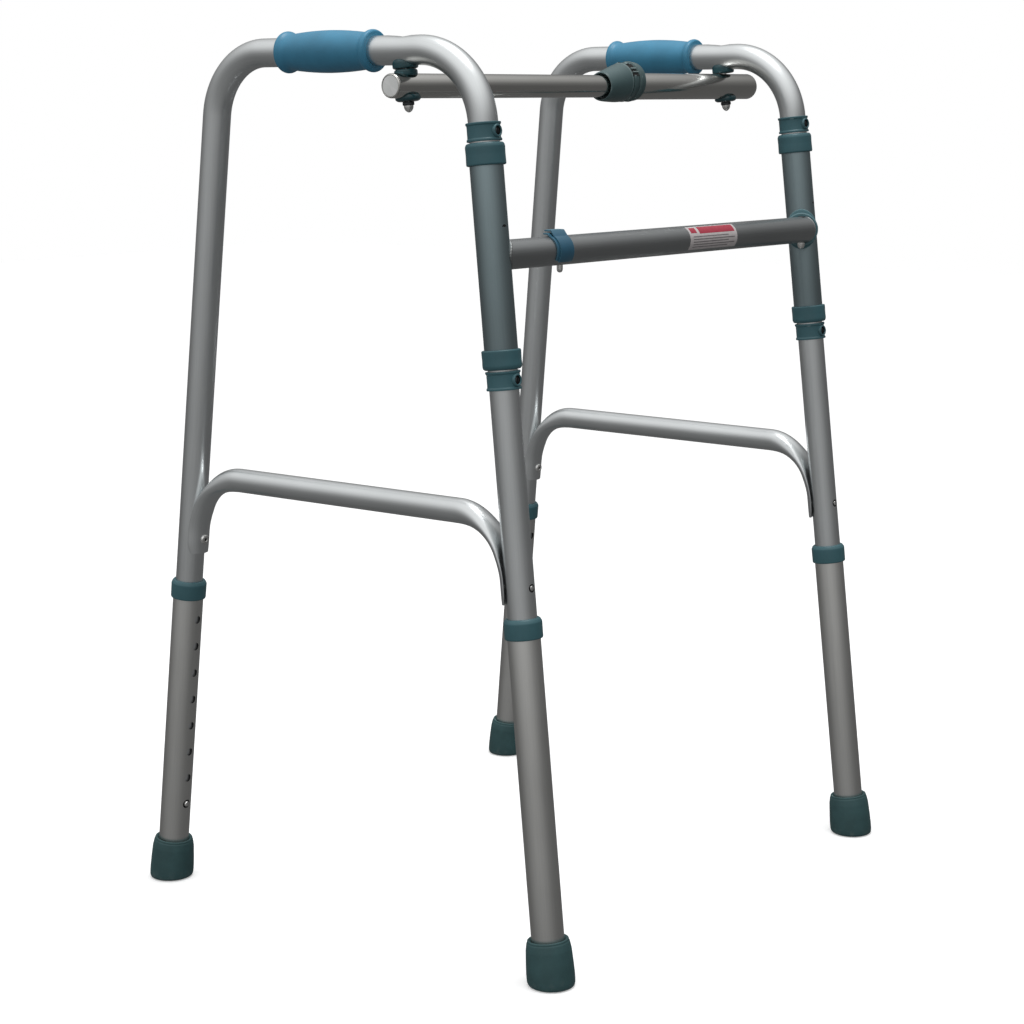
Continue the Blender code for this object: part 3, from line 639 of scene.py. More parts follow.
def make_brace(word):
    """Round in the middle, and pressed to a cup against the leg at the ends."""
    stations = brace_path(word)
    total = stations[-1][2]
    rings = []
    for point, tangent, travelled in stations:
        from_end = min(travelled, total - travelled)
        blend = min(1.0, max(0.0, (from_end - BRACE_FLAT) / BRACE_FADE))
        blend = blend * blend * (3 - 2 * blend)
        flat = CUP_THICKNESS / 2
        thick = flat + (BRACE_R - flat) * blend
        flat_width = BRACE_R * math.pi / 2 - flat
        wide = flat_width + (BRACE_R - flat_width) * blend
        taper = min(1.0, 0.8 + 0.2 * from_end / (7 * MM))
        curl = (TUBE_R + CUP_GAP + flat) / max(1 - blend, 0.002)
        away = tangent.cross(Vector((1, 0, 0)))
        seat = point - away * (BRACE_R - thick)
        rings.append(cup_section(seat, tangent, wide * taper, thick, curl))
    brace = skin(f"{word}_brace_tube", rings, False, side_frame(word))
    stand_for(brace, f"{word}_brace")


def make_brace_bolt(word, end_word):
    """A domed rivet with a sunk socket on the brace's cup, and a flush one outside the leg; black painted
    shade fills the socket and rings the flush end.
    """
    node = f"{word}_{end_word}_brace_bolt"
    leg = leg_frame(word, end_word)
    turn = leg.to_3x3()
    height = box_centre(node).z / turn.col[2].z
    matrix = look_along(leg @ Vector((0, 0, height)), turn.col[1] * ENDS[end_word])
    cup = -(TUBE_R + CUP_GAP + CUP_THICKNESS) / MM
    proud = 1.9 if end_word == "rear" else 0.5
    low = cup - proud
    profile = [(0, low + 0.5), (1.5, low + 0.5), (1.9, low), (3.4, low + 0.05), (4.3, low + 0.5)]
    profile += [(4.6, low + 1.2), (4.6, cup + 0.9), (2.6, cup + 0.9), (2.6, 11), (2.2, 12), (2.2, 12.9)]
    profile += [(1.4, 13.25), (0, 13.3)]
    stand_for(turned(node + "_fine", profile, matrix, False, SMALL, 0.25), node)
    # painted shade: a black disc on the floor of the rivet's socket
    disc = [(0, low + 0.4), (1.45, low + 0.4), (1.45, low + 0.6), (0, low + 0.6)]
    socket = turned(node + "_socket", disc, matrix, False, SMALL, 0.02)
    add_trim(socket, NODE_BODY[node], "hole_black")
    # painted shade: a black ring round the flush end, on the leg
    ring = on_tube(node + "_seat", matrix, TUBE_R, [(3.7, -0.1), (3.6, 0.12), (2.3, 0.16), (2.3, -0.1)])
    add_trim(ring, NODE_BODY[node], "hole_black")


def make_collar(word, level):
    """Screw collar: two flanges, a waist, and a raised ring round its screw pocket, which is lined with black
    painted shade.
    """
    node = f"{word}_{level}_collar"
    leg = leg_frame(word, "front")
    low, high = span_mm(node, leg)
    bore, waist, flange = TUBE_R / MM + 0.08, 14.1, 14.9
    profile = [(flange, low), (flange, low + 1.7), (waist, low + 2.5), (waist, high - 2.5)]
    profile += [(flange, high - 1.7), (flange, high), (bore, high), (bore, low)]
    collar = turned(node + "_fine", profile, leg, True, ROUND, 0.45)
    middle = leg @ Vector((0, 0, (low + high) / 2 * MM))
    facing = look_along(middle, -leg.to_3x3().col[1])
    ring = [(3.7, 13), (5.8, 13), (5.5, 15.2), (4.6, 15.7), (3.8, 15.4)]
    boss = turned(node + "_boss", ring, facing, True, SMALL, 0.5)
    carve(collar, rod("cut_pocket", 3.7 * MM, 12.95 * MM, 20 * MM, facing))
    stand_for(collar, node)
    stand_for(boss, node)
    # painted shade: a black lining inside the screw pocket
    cup = [(3.66, 13), (3.66, 14.6), (3.4, 14.6), (3.4, 13.3), (0, 13.3), (0, 13)]
    shade_lining = turned(node + "_lining", cup, facing, False, SMALL, 0.05)
    add_trim(shade_lining, NODE_BODY[node], "hole_black")
    dome = [(0, 13.3), (2.7, 13.3), (2.7, 14.2), (1.9, 14.8), (0, 14.9)]
    head = turned(node + "_screw_fine", dome, facing, False, SMALL, 0.4)
    carve(head, block("cut_slot", facing @ Matrix.Translation((0, 0, 14.9 * MM)), (0.5, 4, 0.7)))
    stand_for(head, node + "_screw")


def tube_cutter(word, radius):
    """A rod along the top tube's straight part."""
    matrix, _ = grip_frame(word)
    return rod("cut_tube", radius, -110 * MM, 60 * MM, matrix, ROUND)


def bar_cutter(radius):
    return rod("cut_bar", radius, -300 * MM, 300 * MM, bar_frame(), ROUND)


def make_pivot(word):
    """Saddles, nut and bolt that hang the top crossbar under a top tube."""
    matrix = pivot_frame(word)
    right = word == "right"
    tube_r = INNER_R if right else OUTER_R
    bar_r = tube_r / MM
    floor = bar_r + (3.8 if right else 0.6)
    shank = 3.1
    upper = [(9.6, floor), (11, floor + 1), (11, 19.5), (9.8, 22.8), (shank, 22.8), (shank, floor)]
    saddle = turned(f"{word}_upper_saddle_fine", upper, matrix, True, ROUND, 0.8)
    carve(saddle, tube_cutter(word, TUBE_R + 0.1 * MM))
    stand_for(saddle, f"{word}_upper_saddle", "saddle_plastic")
    if right:
        middle = [(9.2, 8), (10, 9), (10.1, floor - 1.9), (9.2, floor - 0.6)]
        middle += [(shank, floor - 0.6), (shank, 8)]
        hug = turned("right_middle_saddle_fine", middle, matrix, True, ROUND, 0.9)
        carve(hug, bar_cutter(tube_r + 0.1 * MM))
        stand_for(hug, "right_middle_saddle", "saddle_plastic")
    base = -bar_r - 2.6
    lower = [(8.8, base), (10.8, base + 1.4), (11, base + 3.2), (10.4, base + 5), (9.4, base + 5.6)]
    lower += [(shank, base + 5.6), (shank, base)]
    under = turned(f"{word}_lower_saddle_fine", lower, matrix, True, ROUND, 0.9)
    carve(under, bar_cutter(tube_r + 0.1 * MM))
    stand_for(under, f"{word}_lower_saddle", "saddle_plastic")
    seat = base - 0.3
    hexagon = [(shank, seat), (4.8, seat), (5.1, seat - 0.6), (5.1, seat - 2.6), (4.6, seat - 3.2)]
    flats = turned(f"{word}_pivot_nut_fine", [*hexagon, (shank, seat - 3.2)], matrix, True, 6, 0.25)
    finish_mesh(flats, 20)
    stand_for(flats, f"{word}_pivot_nut")
    make_pivot_bolt(word, matrix, seat - 3.3)


def make_pivot_bolt(word, matrix, tip):
    """An acorn dome below the nut, and a head sunk in the tube's dimple."""
    dome = smooth_curve([(0, tip - 5.8), (1.2, tip - 5.5), (2.8, tip - 4.2), (3.9, tip - 2.2), (4.2, tip)], 5)
    profile = [(point.x, point.y) for point in dome]
    profile += [(3, tip + 0.1), (3, 38.6), (4.5, 38.9), (4.5, 40.7), (3.4, 41.4), (0, 41.5)]
    bolt = turned(f"{word}_pivot_bolt_fine", profile, matrix, False, SMALL, 0.15)
    stand_for(bolt, f"{word}_pivot_bolt")


def make_side(word):
    make_frame_tube(word)
    make_grip(word)
    make_brace(word)
    for end_word in ENDS:
        make_brace_bolt(word, end_word)
        make_leg(word, end_word)
    for level in ("upper", "lower"):
        make_collar(word, level)
        make_bush(word, level)
    make_pivot(word)


# ---- telescopic legs ----
def make_leg(word, end_word):
    leg = leg_frame(word, end_word)
    make_extension(word, end_word, leg)
    make_ferrule(word, end_word, leg)
    make_foot(word, end_word, leg)
    make_button(word, end_word)


def make_extension(word, end_word, leg):
    node = f"{word}_{end_word}_extension"
    low, high = span_mm(node, leg)
    tube = turned(node + "_fine", pipe(SLEEVE_R / MM, SLEEVE_BORE / MM, low, high), leg, True, FINE, 0.3)
    facing = button_frame(word, end_word)
    rise = leg.to_3x3().col[2]
    cutters = []
    for k in range(HOLE_COUNT):
        radius = HOLE_R if k else BUTTON_HOLE_R
        shift = Matrix.Translation(rise * HOLE_PITCH * k)
        cutters.append(rod("cut_hole", radius, 8 * MM, 20 * MM, shift @ facing))
    carve(tube, *cutters)
    stand_for(tube, node)
    darken_hole_walls(tube, facing, rise)


def darken_hole_walls(tube, facing, rise):
    """Paint the walls of the height holes above the button with painted shade: a near-black metal that stands
    in for the shadow inside the holes.
    """
    tube.data.materials.append(MATERIALS["hole_shade"])
    to_local = facing.inverted()
    up = (to_local.to_3x3() @ rise).normalized()
    for polygon in tube.data.polygons:
        point = to_local @ polygon.center
        number = round(point.dot(up) / HOLE_PITCH)
        offset = point - up * (HOLE_PITCH * number)
        in_hole = math.hypot(offset.x, offset.y) < HOLE_R + 0.1 * MM
        if point.z > 0 and 1 <= number < HOLE_COUNT and in_hole:
            polygon.material_index = 1


def make_ferrule(word, end_word, leg):
    node = f"{word}_{end_word}_ferrule"
    low, high = span_mm(node, leg)
    bore, over = TUBE_R / MM + 0.1, SLEEVE_R / MM + 0.1
    lip = high - 2.1
    profile = [(15.9, low), (16.5, low + 0.8), (16.6, high - 3.2), (15.4, high - 1), (14.4, high)]
    profile += [(bore, high), (bore, lip), (over, lip), (over, low)]
    stand_for(turned(node + "_fine", profile, leg, True, ROUND, 0.8), node)


def make_foot(word, end_word, leg):
    """A rubber cup: level at the floor, square to the leg at its beaded lip."""
    node = f"{word}_{end_word}_foot"
    _, high = span(node, leg)
    lip, bore = high / MM, SLEEVE_R / MM + 0.1
    tread = [(0, 0.8), (4, 0.8), (4.6, 0), (8, 0), (8.6, 0.8), (12, 0.8), (12.6, 0)]
    wall = [(18.4, 0), (19.9, 0.7), (20.7, 2.4), (20.9, 5), (20.9, 10), (20.6, 18), (19.8, lip - 9)]
    wall += [(18.7, lip - 3), (18, lip - 1.9)]
    bead = [(18.1, lip - 1.3), (17.8, lip - 0.4), (17.2, lip)]
    mouth = [(16.2, lip - 0.2), (bore + 0.6, lip - 1), (bore, lip - 2.2), (bore, 5.9), (0, 5.9)]
    outline = [(p.x, p.y) for p in soften(tread + wall + bead + mouth, 0.5, False, 3)]
    up = leg.to_3x3().col[2]
    rings = []
    for radius, along in outline:
        blend = min(1.0, along / (lip * 0.5)) if radius > bore else 1.0
        blend = 0.0 if along < 0.9 else blend
        normal = UP.lerp(up, blend).normalized()
        centre = leg.translation + up * (along * MM / up.z)
        ring_frame = look_along(centre, normal, Vector((0, 1, 0)))
        rings.append([ring_frame @ point for point in circle(max(radius, 0.01) * MM, 0)])
    stand_for(skin(node + "_fine", rings), node)


def make_button(word, end_word):
    """Domed button on its V leaf spring."""
    node = f"{word}_{end_word}_snap_button"
    facing = button_frame(word, end_word)
    profile = [(0, 7.8), (2.7, 7.8), (2.7, 14.5), (2.3, 15.3), (1.3, 15.7), (0, 15.8)]
    stand_for(turned(node + "_dome", profile, facing, False, SMALL, 0.4), node)
    # painted shade: a black ring in the gap round the button
    gap_shade = on_tube(node + "_gap", facing, TUBE_R, [(4.15, -0.1), (4.15, 0.12), (2.75, 0.12), (2.75, -0.1)])
    add_trim(gap_shade, f"{word}_frame", "hole_black")
    leaf = [(-5, 8.2), (6, 8.2), (18, 5), (29, 1.6), (32.4, 0), (29, -1.6), (18, -3.8), (4, -5.6)]
    keys = smooth_curve(leaf, 4)
    rings = []
    half_width, half_thick = 3.2 * MM, 0.4 * MM
    for i, key in enumerate(keys):
        before, after = keys[max(i - 1, 0)], keys[min(i + 1, len(keys) - 1)]
        way = (after - before).normalized()
        normal = Vector((0, -way.y, way.x)) * half_thick
        centre = Vector((0, key.x, key.y)) * MM
        side = Vector((half_width, 0, 0))
        rings.append([centre + side + normal, centre - side + normal,
                      centre - side - normal, centre + side - normal])
    stand_for(skin(node + "_leaf", rings, False, facing), node)


# ---- front crossbars ----
def make_bush(word, level):
    """Ring bush on the end of a front sleeve, rounded and slightly waisted."""
    node = f"{word}_{level}_ring_bush"
    leg = leg_frame(word, "front")
    low, high = span_mm(node, leg)
    over, lip = SLEEVE_R / MM + 0.1, TUBE_R / MM + 0.1
    mouth, face = (low, high) if level == "upper" else (high, low)
    way = 1 if level == "upper" else -1
    seat = face - way * 2.6
    profile = [(16.2, mouth), (16.8, mouth + way * 1), (16.6, (mouth + face) / 2), (16.8, face - way * 3)]
    profile += [(16.1, face - way * 1), (14.9, face), (lip, face), (lip, seat), (over, seat), (over, mouth)]
    stand_for(turned(node + "_fine", profile, leg, True, ROUND, 1.2), node)


def make_sleeves():
    low, high = span_mm("left_sleeve", leg_frame("left", "front"))
    profile = pipe(SLEEVE_R / MM, SLEEVE_BORE / MM, low, high)
    for word, node in (("right", "lower_bar"), ("left", "left_sleeve")):
        leg = leg_frame(word, "front")
        stand_for(turned(f"{word}_sleeve_fine", profile, leg, True, FINE, 0.3), node)
        make_sleeve_hole(word, node, leg)


def make_sleeve_hole(word, node, leg):
    """A small drain hole low on the outer face of each sleeve, just above the crossbar, drawn as a black disc
    of painted shade.
    """
    matrix, _ = low_bar_frame()
    height = (matrix.translation.z + DRAIN_HOLE_RISE) / leg.to_3x3().col[2].z
    outward = Vector((-0.03, -1, 0)) if word == "right" else Vector((0.22, -1, 0))
    facing = look_along(leg @ Vector((0, 0, height)), outward)
    # painted shade: a black disc stands for the hole's dark inside
    disc = on_tube(f"{word}_sleeve_hole", facing, SLEEVE_R, [(0, -0.1), (2.6, -0.1), (2.6, 0.05), (0, 0.05)])
    add_trim(disc, NODE_BODY[node], "hole_black")


def make_low_bar():
    along, length = low_bar_frame()
    reach = length / MM
    outer, bore = LOW_BAR_R / MM, LOW_BAR_BORE / MM
    bar = turned("lower_crossbar_tube", pipe(outer, bore, 2, reach - 1.9), along, True, FINE, 0.5)
    sleeve_bore = rod("cut_sleeve", 13.6 * MM, 400 * MM, 800 * MM, leg_frame("right", "front"), ROUND)
    carve(bar, sleeve_bore)
    stand_for(bar, "lower_bar", "crossbar_tube")
    make_weld(along)
    cap = [(0, reach - 8), (bore - 0.1, reach - 8), (bore - 0.1, reach - 1.9), (outer + 0.1, reach - 1.8)]
    cap += [(outer + 0.15, reach - 0.9), (outer - 0.5, reach), (10.6, reach + 0.1), (9.8, reach - 0.7)]
    cap += [(0, reach - 0.6)]
    cap = turned("crossbar_end_cap", cap, along, False, FINE, 0.4)
    add_trim(cap, "front_bar", "crossbar_tube")
    make_label(along)


def make_weld(along):
    """A rippled bead where the bar meets the right sleeve."""
    bead, count, sides = 1.9 * MM, 180, 12
    rings = []
    for a in turns(count):
        depth = math.sqrt(SLEEVE_R ** 2 - (LOW_BAR_R * math.cos(a)) ** 2)
        centre = Vector((LOW_BAR_R * math.cos(a), LOW_BAR_R * math.sin(a), depth))
        out = Vector((math.cos(a), math.sin(a), 0))
        size = bead * (1 + 0.03 * math.sin(a * 34) + 0.06 * math.sin(a * 5 + 1))
        rings.append([centre + (out * math.cos(t) + UP * math.sin(t)) * size for t in turns(sides)])
    stand_for(skin("crossbar_weld", rings, True, along), "lower_bar", "weld_metal")


def label_patch(name, along, lift, thickness, length_span, turn_span, look):
    """A thin film wrapped on the bar: millimetres along it, and degrees up from its front."""
    (z0, z1), (a0, a1) = length_span, turn_span
    inner = LOW_BAR_R / MM + lift
    steps = max(3, round((a1 - a0) / 4))
    rings = []
    for z in (z0, z1):
        angles = [math.radians(180 - (a0 + (a1 - a0) * k / steps)) for k in range(steps + 1)]
        edge = [(inner + thickness, a) for a in angles] + [(inner, a) for a in reversed(angles)]
        rings.append([Vector((r * MM * math.cos(a), r * MM * math.sin(a), z * MM)) for r, a in edge])
    add_trim(skin(name, rings, False, along), "front_bar", look)


def make_label(along):
    """A plain label wrapped round the front of the bar: blank coloured blocks, no lettering."""
    way = along.to_3x3().col[2]
    first, last = ((end - along.translation.x / MM) / way.x for end in LABEL_ENDS)
    label_patch("label_base", along, 0.02, 0.1, (first, last), (-44, 66), "label_white")
    label_patch("label_band", along, 0.14, 0.05, (first + 16, last - 3), (26, 62), "label_red")
    label_patch("label_mark", along, 0.14, 0.05, (first + 3, first + 12), (30, 58), "label_red")
    for k in range(5):
        top = 16 - 11 * k
        stop = last - (4 if k % 2 else 14)
        label_patch(f"label_bar_{k}", along, 0.14, 0.04, (first + 5, stop), (top - 4, top), "label_grey")


def make_bar_end():
    """The moulded saddle between the bar's far end and the left sleeve, and its bolt."""
    along, length = low_bar_frame()
    bolt_point = along @ Vector((0, 0, length - BAR_BOLT_INSET))
    leg = leg_frame("left", "front")
    rise = leg_rise("left", "front")
    target = leg.translation + rise * (bolt_point.z / rise.z)
    facing = look_along(bolt_point, target - bolt_point)
    stations = [(4.4, 15.4, 15.4), (4.9, 16.2, 16.2), (5.6, 16.5, 16.5), (6.8, 16.4, 16.4), (7.6, 15.4, 15.4)]
    stations += [(8.2, 14.4, 14.8), (9.2, 14.4, 15), (9.9, 15, 18.4), (10.4, 15.5, 19.5), (11.2, 15.6, 19.8)]
    stations += [(12.4, 15.6, 19.6), (13.4, 15, 18.8), (16, 13.6, 16), (22, 12, 12.6)]
    rings = []
    for depth, wide, tall in stations:
        rings.append([Vector((wide * math.cos(a), tall * math.sin(a), depth)) * MM for a in turns()])
    saddle = skin("bar_end_saddle_fine", rings, False, facing)
    bar = rod("cut_bar", 12.95 * MM, length - 60 * MM, length + 0.3 * MM, along, ROUND)
    sleeve = rod("cut_sleeve", SLEEVE_R + 0.1 * MM, 480 * MM, 740 * MM, leg, ROUND)
    carve(saddle, bar, sleeve)
    stand_for(saddle, "bar_end_saddle")
    down = Matrix.Translation(bolt_point)
    bolt = [(0, -13), (2.4, -13), (2.4, 12.4), (3.5, 12.6), (3.2, 13.1), (2, 13.3), (0, 13.35)]
    stand_for(turned("bar_end_bolt_fine", bolt, down, False, SMALL, 0.4), "bar_end_bolt", "dark_steel")
    nut = [(0, -18.7), (1.6, -18.5), (2.9, -17.4), (3.5, -15.6), (3.7, -14), (3.7, -12.4), (0, -12.4)]
    stand_for(turned("bar_end_nut", nut, down, False, SMALL, 0.3), "bar_end_bolt")


def make_clip():
    """Spring strap round the front of the bar: an outer strap with a lifted tab, and an inner liner."""
    along, _ = low_bar_frame()
    low, high = span("fold_clip", along)
    middle, half = (low + high) / 2, (high - low) / 2
    bar_r = LOW_BAR_R / MM
    strap = clip_outline(bar_r + 1.4, bar_r + 2.5, -38, 60, bar_r + 5.6, -4)
    add_strap("fold_clip_strap", strap, along, middle + 4.2 * MM, half - 4.2 * MM, "fold_clip")
    liner = clip_outline(bar_r + 0.15, bar_r + 1.3, -34, 66, bar_r + 3.0, -3)
    add_strap("fold_clip_liner", liner, along, middle + 1.6 * MM, half - 4 * MM, "fold_clip")
    pin = along @ Vector((0, 0, CLIP_PIN_AT))
    profile = [(0, -7.5), (2.7, -7.5), (2.7, -16.6), (2.2, -18.2), (1.2, -19), (0, -19.2)]
    stand_for(turned("clip_pin_fine", profile, Matrix.Translation(pin), False, SMALL, 0.6), "clip_pin")


def clip_outline(inner, outer, first, last, tab_top, tab_back):
    """A strap's section in millimetres: (forward, up) points round the bar, ending in a flat tab."""
    steps = 22
    angles = [math.radians(first + (last - first) * k / steps) for k in range(steps + 1)]
    thick = outer - inner
    knee = math.cos(angles[-1]) * outer - 4
    points = [(math.cos(a) * outer, math.sin(a) * outer) for a in angles]
    points += [(knee, tab_top), (tab_back, tab_top), (tab_back, tab_top - thick)]
    points.append((knee - 0.6, tab_top - thick))
    points += [(math.cos(a) * inner, math.sin(a) * inner) for a in reversed(angles)]
    return soften(points, 0.35, True, 2)


def add_strap(name, outline, along, middle, half, node):
    bar_way = along.to_3x3().col[2]
    forward = bar_way.cross(UP)
    edge = 0.35 * MM
    centroid = sum((Vector(p) for p in outline), Vector((0, 0))) / len(outline)
    rings = []
    for shift, shrink in ((-half, 0.985), (-half + edge, 1.0), (half - edge, 1.0), (half, 0.985)):
        base = along @ Vector((0, 0, middle + shift))
        ring = [centroid + (point - centroid) * shrink for point in outline]
        rings.append([base + forward * (p.x * MM) + UP * (p.y * MM) for p in ring])
    stand_for(skin(name, rings), node)


# ---- top crossbar ----
def make_top_bar():
    matrix = bar_frame()
    for node, radius, wall in (("top_bar_inner_tube", INNER_R, 1.2), ("top_bar_outer_tube", OUTER_R, 1.6)):
        low, high = span_mm(node, matrix)
        profile = pipe(radius / MM, radius / MM - wall, low, high)
        stand_for(turned(node + "_fine", profile, matrix, True, FINE, 0.3), node)
    low, high = span_mm("inner_tube_plug", matrix)
    outer = INNER_R / MM
    near = [(0, low + 0.2), (outer - 1.9, low + 0.2), (outer - 1.55, low + 0.5), (outer - 1.55, low + 1.2)]
    near += [(9, low + 1.3), (9, high), (0, high)]
    stand_for(turned("inner_tube_plug_fine", near, matrix, False, ROUND, 0.3), "inner_tube_plug", "plug_pale")
    rim = [(outer - 1.5, low + 0.1), (outer - 1.2, low), (outer - 0.4, low + 0.35), (outer, low + 1.3)]
    rim += [(outer - 1.5, low + 1.3)]
    rim = turned("inner_tube_plug_rim", rim, matrix, True, ROUND, 0.4)
    stand_for(rim, "inner_tube_plug", "bar_tube")
    low, high = span_mm("outer_tube_plug", matrix)
    far = [(0, low), (11, low), (11, high - 1.6), (12.6, high - 1.4), (12.3, high - 0.6), (10.4, high)]
    far.append((0, high))
    stand_for(turned("outer_tube_plug_fine", far, matrix, False, ROUND, 0.7), "outer_tube_plug")


LOCK_RISE = 4.5                  # mm, how much deeper the lock is above the tube than below
LOCK_NARROW = 0.92               # its width for its height, at the wide end
LOCK_FLARE = 34                  # mm along the bar, over which it widens and rises
WINDOW_TURN = 138                # degrees round the bar
WINDOW_R = 18.6                  # mm from the bar's axis


def lock_ring_points(radius, x, rise):
    """An upright oval round the crossbar, lifted by its share of the housing's rise."""
    width = 1 - (1 - LOCK_NARROW) * rise
    return [Vector((radius * width * math.cos(a), radius * math.sin(a) + LOCK_RISE * rise, x)) * MM
            for a in turns()]


def make_lock():
    """Flared housing with a slotted window filled below by a black slab of painted shade, its pull ring, and
    the latch in its well.
    """
    matrix = bar_frame()
    low, high = span_mm("lock_housing", matrix)
    outer = smooth_curve([(low, 12.8), (low + 0.5, 13.3), (low + 2, 13.9), (low + 12, 15.7),
                          (low + 22, 17.4), (low + 30.6, 18.4)], 6)
    ribs = [(low + 30.6, 18.4), (low + 30.9, 16.9), (low + 32.6, 16.9), (low + 33, 18.4), (low + 34, 19.1)]
    ribs += [(low + 35.6, 19), (low + 37, 18), (low + 40.4, 18), (low + 41.4, 17.6), (high, 17.2)]
    outer += soften(ribs, 0.35, False, 3)[1:]
    rings = []
    for point in outer:
        rise = min(1.0, max(0.0, (point.x - low - 2) / LOCK_FLARE)) ** 1.2
        rings.append(lock_ring_points(point.y, point.x, rise))
    wide, tight = OUTER_R / MM + 0.1, INNER_R / MM + 0.3
    step = span("top_bar_outer_tube", matrix)[0] / MM - 0.3
    bore = [(wide, high), (wide, step), (tight, step), (tight, low + 7), (12.2, low + 6.6), (12.4, low)]
    rings += [circle(radius * MM, x * MM) for radius, x in bore]
    housing = skin("lock_housing_fine", rings, True, matrix)
    latch = Matrix.Translation(box_centre("lock_latch"))
    well = rod("cut_well", 4.05 * MM, -3 * MM, 40 * MM, latch)
    carve(housing, well, block("cut_window", window_frame(matrix, high), (3.4, 7.4, 4.4)))
    stand_for(housing, "lock_housing", "lock_plastic")
    # painted shade: a black slab just below the window's floor
    shade_fill = block("lock_window_backing", window_frame(matrix, high, -2.4), (0.3, 7.3, 4.3))
    add_trim(shade_fill, "top_bar_outer", "hole_black")
    for number, (shift, half) in enumerate(((-0.8, 0.45), (3.6, 0.3))):
        place = window_frame(matrix, high, -1.3) @ Matrix.Translation((0, shift * MM, 0))
        divider = block(f"lock_window_rib_{number}", place, (0.9, half, 4.3))
        add_trim(divider, "top_bar_outer", "lock_plastic")
    make_pull_ring(matrix)
    head = [(0, -4.8), (2.9, -4.8), (2.9, -0.6), (3.8, 0), (3.8, 4.2), (3.2, 4.9), (0, 5)]
    stand_for(turned("lock_latch_fine", head, latch, False, SMALL, 0.4), "lock_latch")


def window_frame(matrix, high, depth=0.0):
    """At the housing's wide end, on its upper front: X points outward, Z along the bar."""
    turn = math.radians(WINDOW_TURN)
    radius = (WINDOW_R + depth) * MM
    place = Vector((radius * LOCK_NARROW * math.cos(turn), radius * math.sin(turn) + LOCK_RISE * MM,
                    (high - 5.1) * MM))
    return matrix @ Matrix.Translation(place) @ Matrix.Rotation(turn, 4, "Z")


def make_pull_ring(matrix):
    low, high = span_mm("lock_ring", matrix)
    wide = OUTER_R / MM + 0.15
    shape = [(18, 0), (19.2, 0.7), (19.3, 1.8), (18.3, 3), (18.1, 4), (18.5, 7.6), (18.2, 9)]
    outline = soften([*shape, (17, high - low)], 0.45)
    rings = [lock_ring_points(point.x, low + point.y, 1.0) for point in outline]
    rings += [circle(wide * MM, high * MM), circle(wide * MM, low * MM)]
    stand_for(skin("lock_ring_fine", rings, True, matrix), "lock_ring", "lock_plastic")


# ---- stage, light and camera ----
def make_stage():
    bpy.ops.mesh.primitive_plane_add(size=14, location=(0, 0, -0.4 * MM))
    floor = bpy.context.object
    floor.name = "studio_floor"
    floor.visible_glossy = False
    floor.visible_diffuse = False
    kit = new_material("studio_floor")
    kit.put("Base Color", (0.93, 0.93, 0.93))
    kit.put("Roughness", 0.9)
    kit.put("Emission Color", (1, 1, 1))
    kit.put("Emission Strength", 0.3)
    floor.data.materials.append(kit.owner)


SKY_UP = Vector((-0.22, -0.02, 0.975))        # where the studio's soft light is brightest
SKY_STOPS = ((0.0, 0.13), (0.35, 0.125), (0.425, 0.13), (0.475, 0.155), (0.55, 0.21), (0.6, 0.27),
             (0.665, 0.42), (0.725, 0.52), (0.815, 0.85), (0.915, 1.05), (1.0, 1.1))
PALE_WALL = Vector((-0.97, -0.25, -0.1))      # a soft glow low on one side
PALE_WALL_STOPS = ((0.0, 0.0), (0.5, 0.0), (0.75, 0.05), (1.0, 0.12))


def sky_glow(kit, towards, stops):
    """Grey that depends on how nearly a direction points towards the given one."""
    tilt = kit.nodes.new("ShaderNodeVectorMath")
    tilt.operation = "DOT_PRODUCT"
    tilt.inputs[1].default_value = towards.normalized()
    kit.links.new(kit.coords["Generated"], tilt.inputs[0])
    height = kit.nodes.new("ShaderNodeMapRange")
    height.inputs["From Min"].default_value = -1
    kit.links.new(tilt.outputs["Value"], height.inputs["Value"])
    sky = kit.nodes.new("ShaderNodeValToRGB")
    sky.color_ramp.interpolation = "B_SPLINE"
    row = sky.color_ramp.elements
    row[0].color, row[1].color = (stops[0][1],) * 3 + (1,), (stops[-1][1],) * 3 + (1,)
    for position, grey in stops[1:-1]:
        row.new(position).color = (grey, grey, grey, 1)
    kit.links.new(height.outputs["Result"], sky.inputs["Fac"])
    return sky.outputs["Color"]


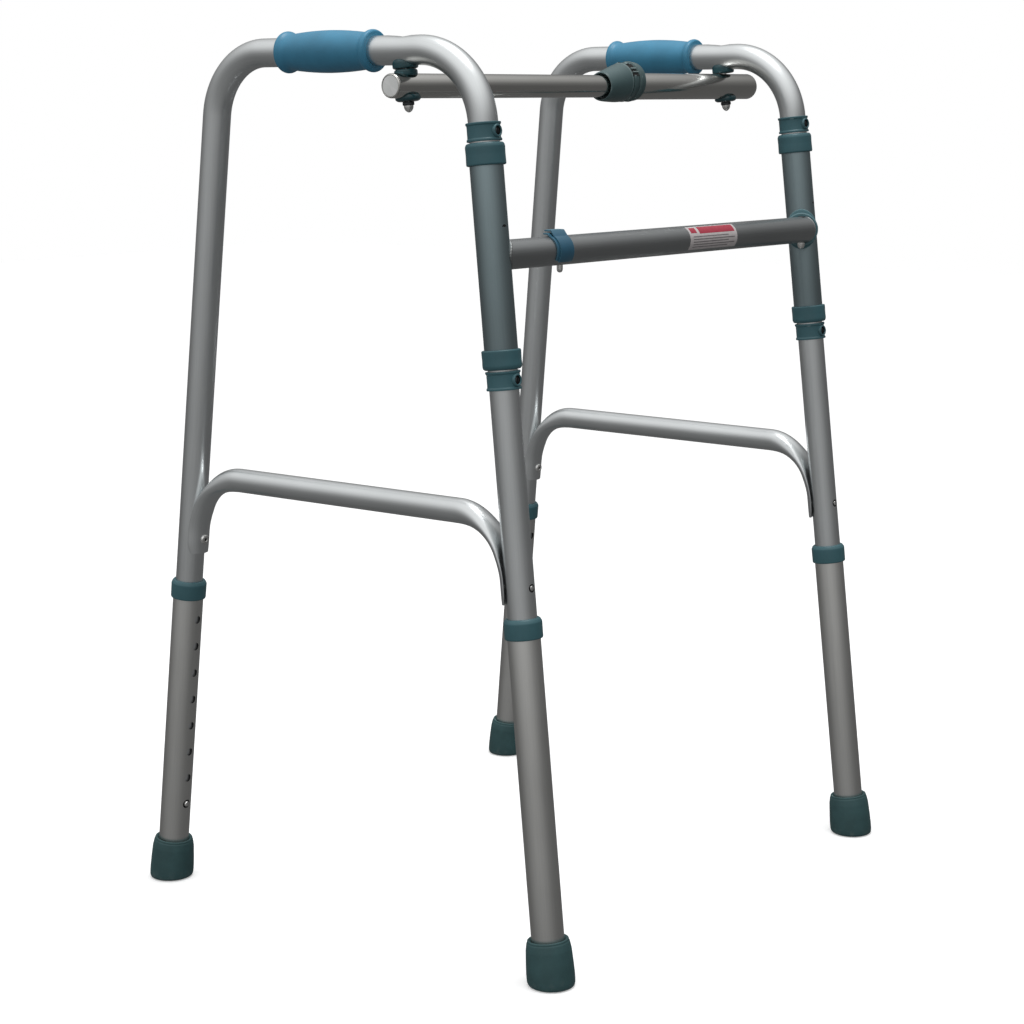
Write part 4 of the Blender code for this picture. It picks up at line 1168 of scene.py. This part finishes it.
def make_world():
    """Soft studio surround: bright overhead, dim round the horizon, plain white to the eye."""
    world = bpy.data.worlds.new("studio")
    bpy.context.scene.world = world
    kit = NodeKit(world)
    overhead = sky_glow(kit, SKY_UP, SKY_STOPS)
    wall = sky_glow(kit, PALE_WALL, PALE_WALL_STOPS)
    both = kit.mix(1.0, overhead, wall, "ADD")
    path = kit.nodes.new("ShaderNodeLightPath")
    seen = kit.mix(path.outputs["Is Camera Ray"], both, (1.0, 1.0, 1.0))
    kit.links.new(seen, kit.nodes["Background"].inputs["Color"])


def make_light():
    """One soft square light overhead."""
    data = bpy.data.lights.new("overhead_softbox", "AREA")
    data.shape = "RECTANGLE"
    data.size = data.size_y = 0.9
    data.energy = 25
    light = bpy.data.objects.new("overhead_softbox", data)
    place, target = Vector((0, -0.2, 2.9)), Vector((0, 0, 0.5))
    turn = (target - place).to_track_quat("-Z", "Y").to_matrix().to_4x4()
    light.matrix_world = Matrix.Translation(place) @ turn
    bpy.context.collection.objects.link(light)


CAMERA_AT = Vector((-1.70025, -1.33835, 0.74963))
CAMERA_TURN = (51.894, -9.071, -0.227)        # degrees: yaw from +Y, pitch and roll


def make_camera():
    data = bpy.data.cameras.new("view")
    data.lens = 78.736
    data.sensor_width = 36
    data.shift_x, data.shift_y = -0.01301, -0.05594
    camera = bpy.data.objects.new("view", data)
    yaw, pitch, roll = (math.radians(angle) for angle in CAMERA_TURN)
    forward = Vector((math.sin(yaw) * math.cos(pitch), math.cos(yaw) * math.cos(pitch), math.sin(pitch)))
    right = Vector((math.cos(yaw), -math.sin(yaw), 0))
    up = right.cross(forward)
    tilted_right = right * math.cos(roll) + up * math.sin(roll)
    tilted_up = up * math.cos(roll) - right * math.sin(roll)
    camera.matrix_world = matrix_from(CAMERA_AT, tilted_right, tilted_up, -forward)
    bpy.context.collection.objects.link(camera)
    bpy.context.scene.camera = camera


bpy.context.scene.view_settings.view_transform = "Standard"
make_camera()
make_world()
make_light()
make_stage()
for side_word in SIDES:
    make_side(side_word)
make_sleeves()
make_low_bar()
make_bar_end()
make_clip()
make_top_bar()
make_lock()
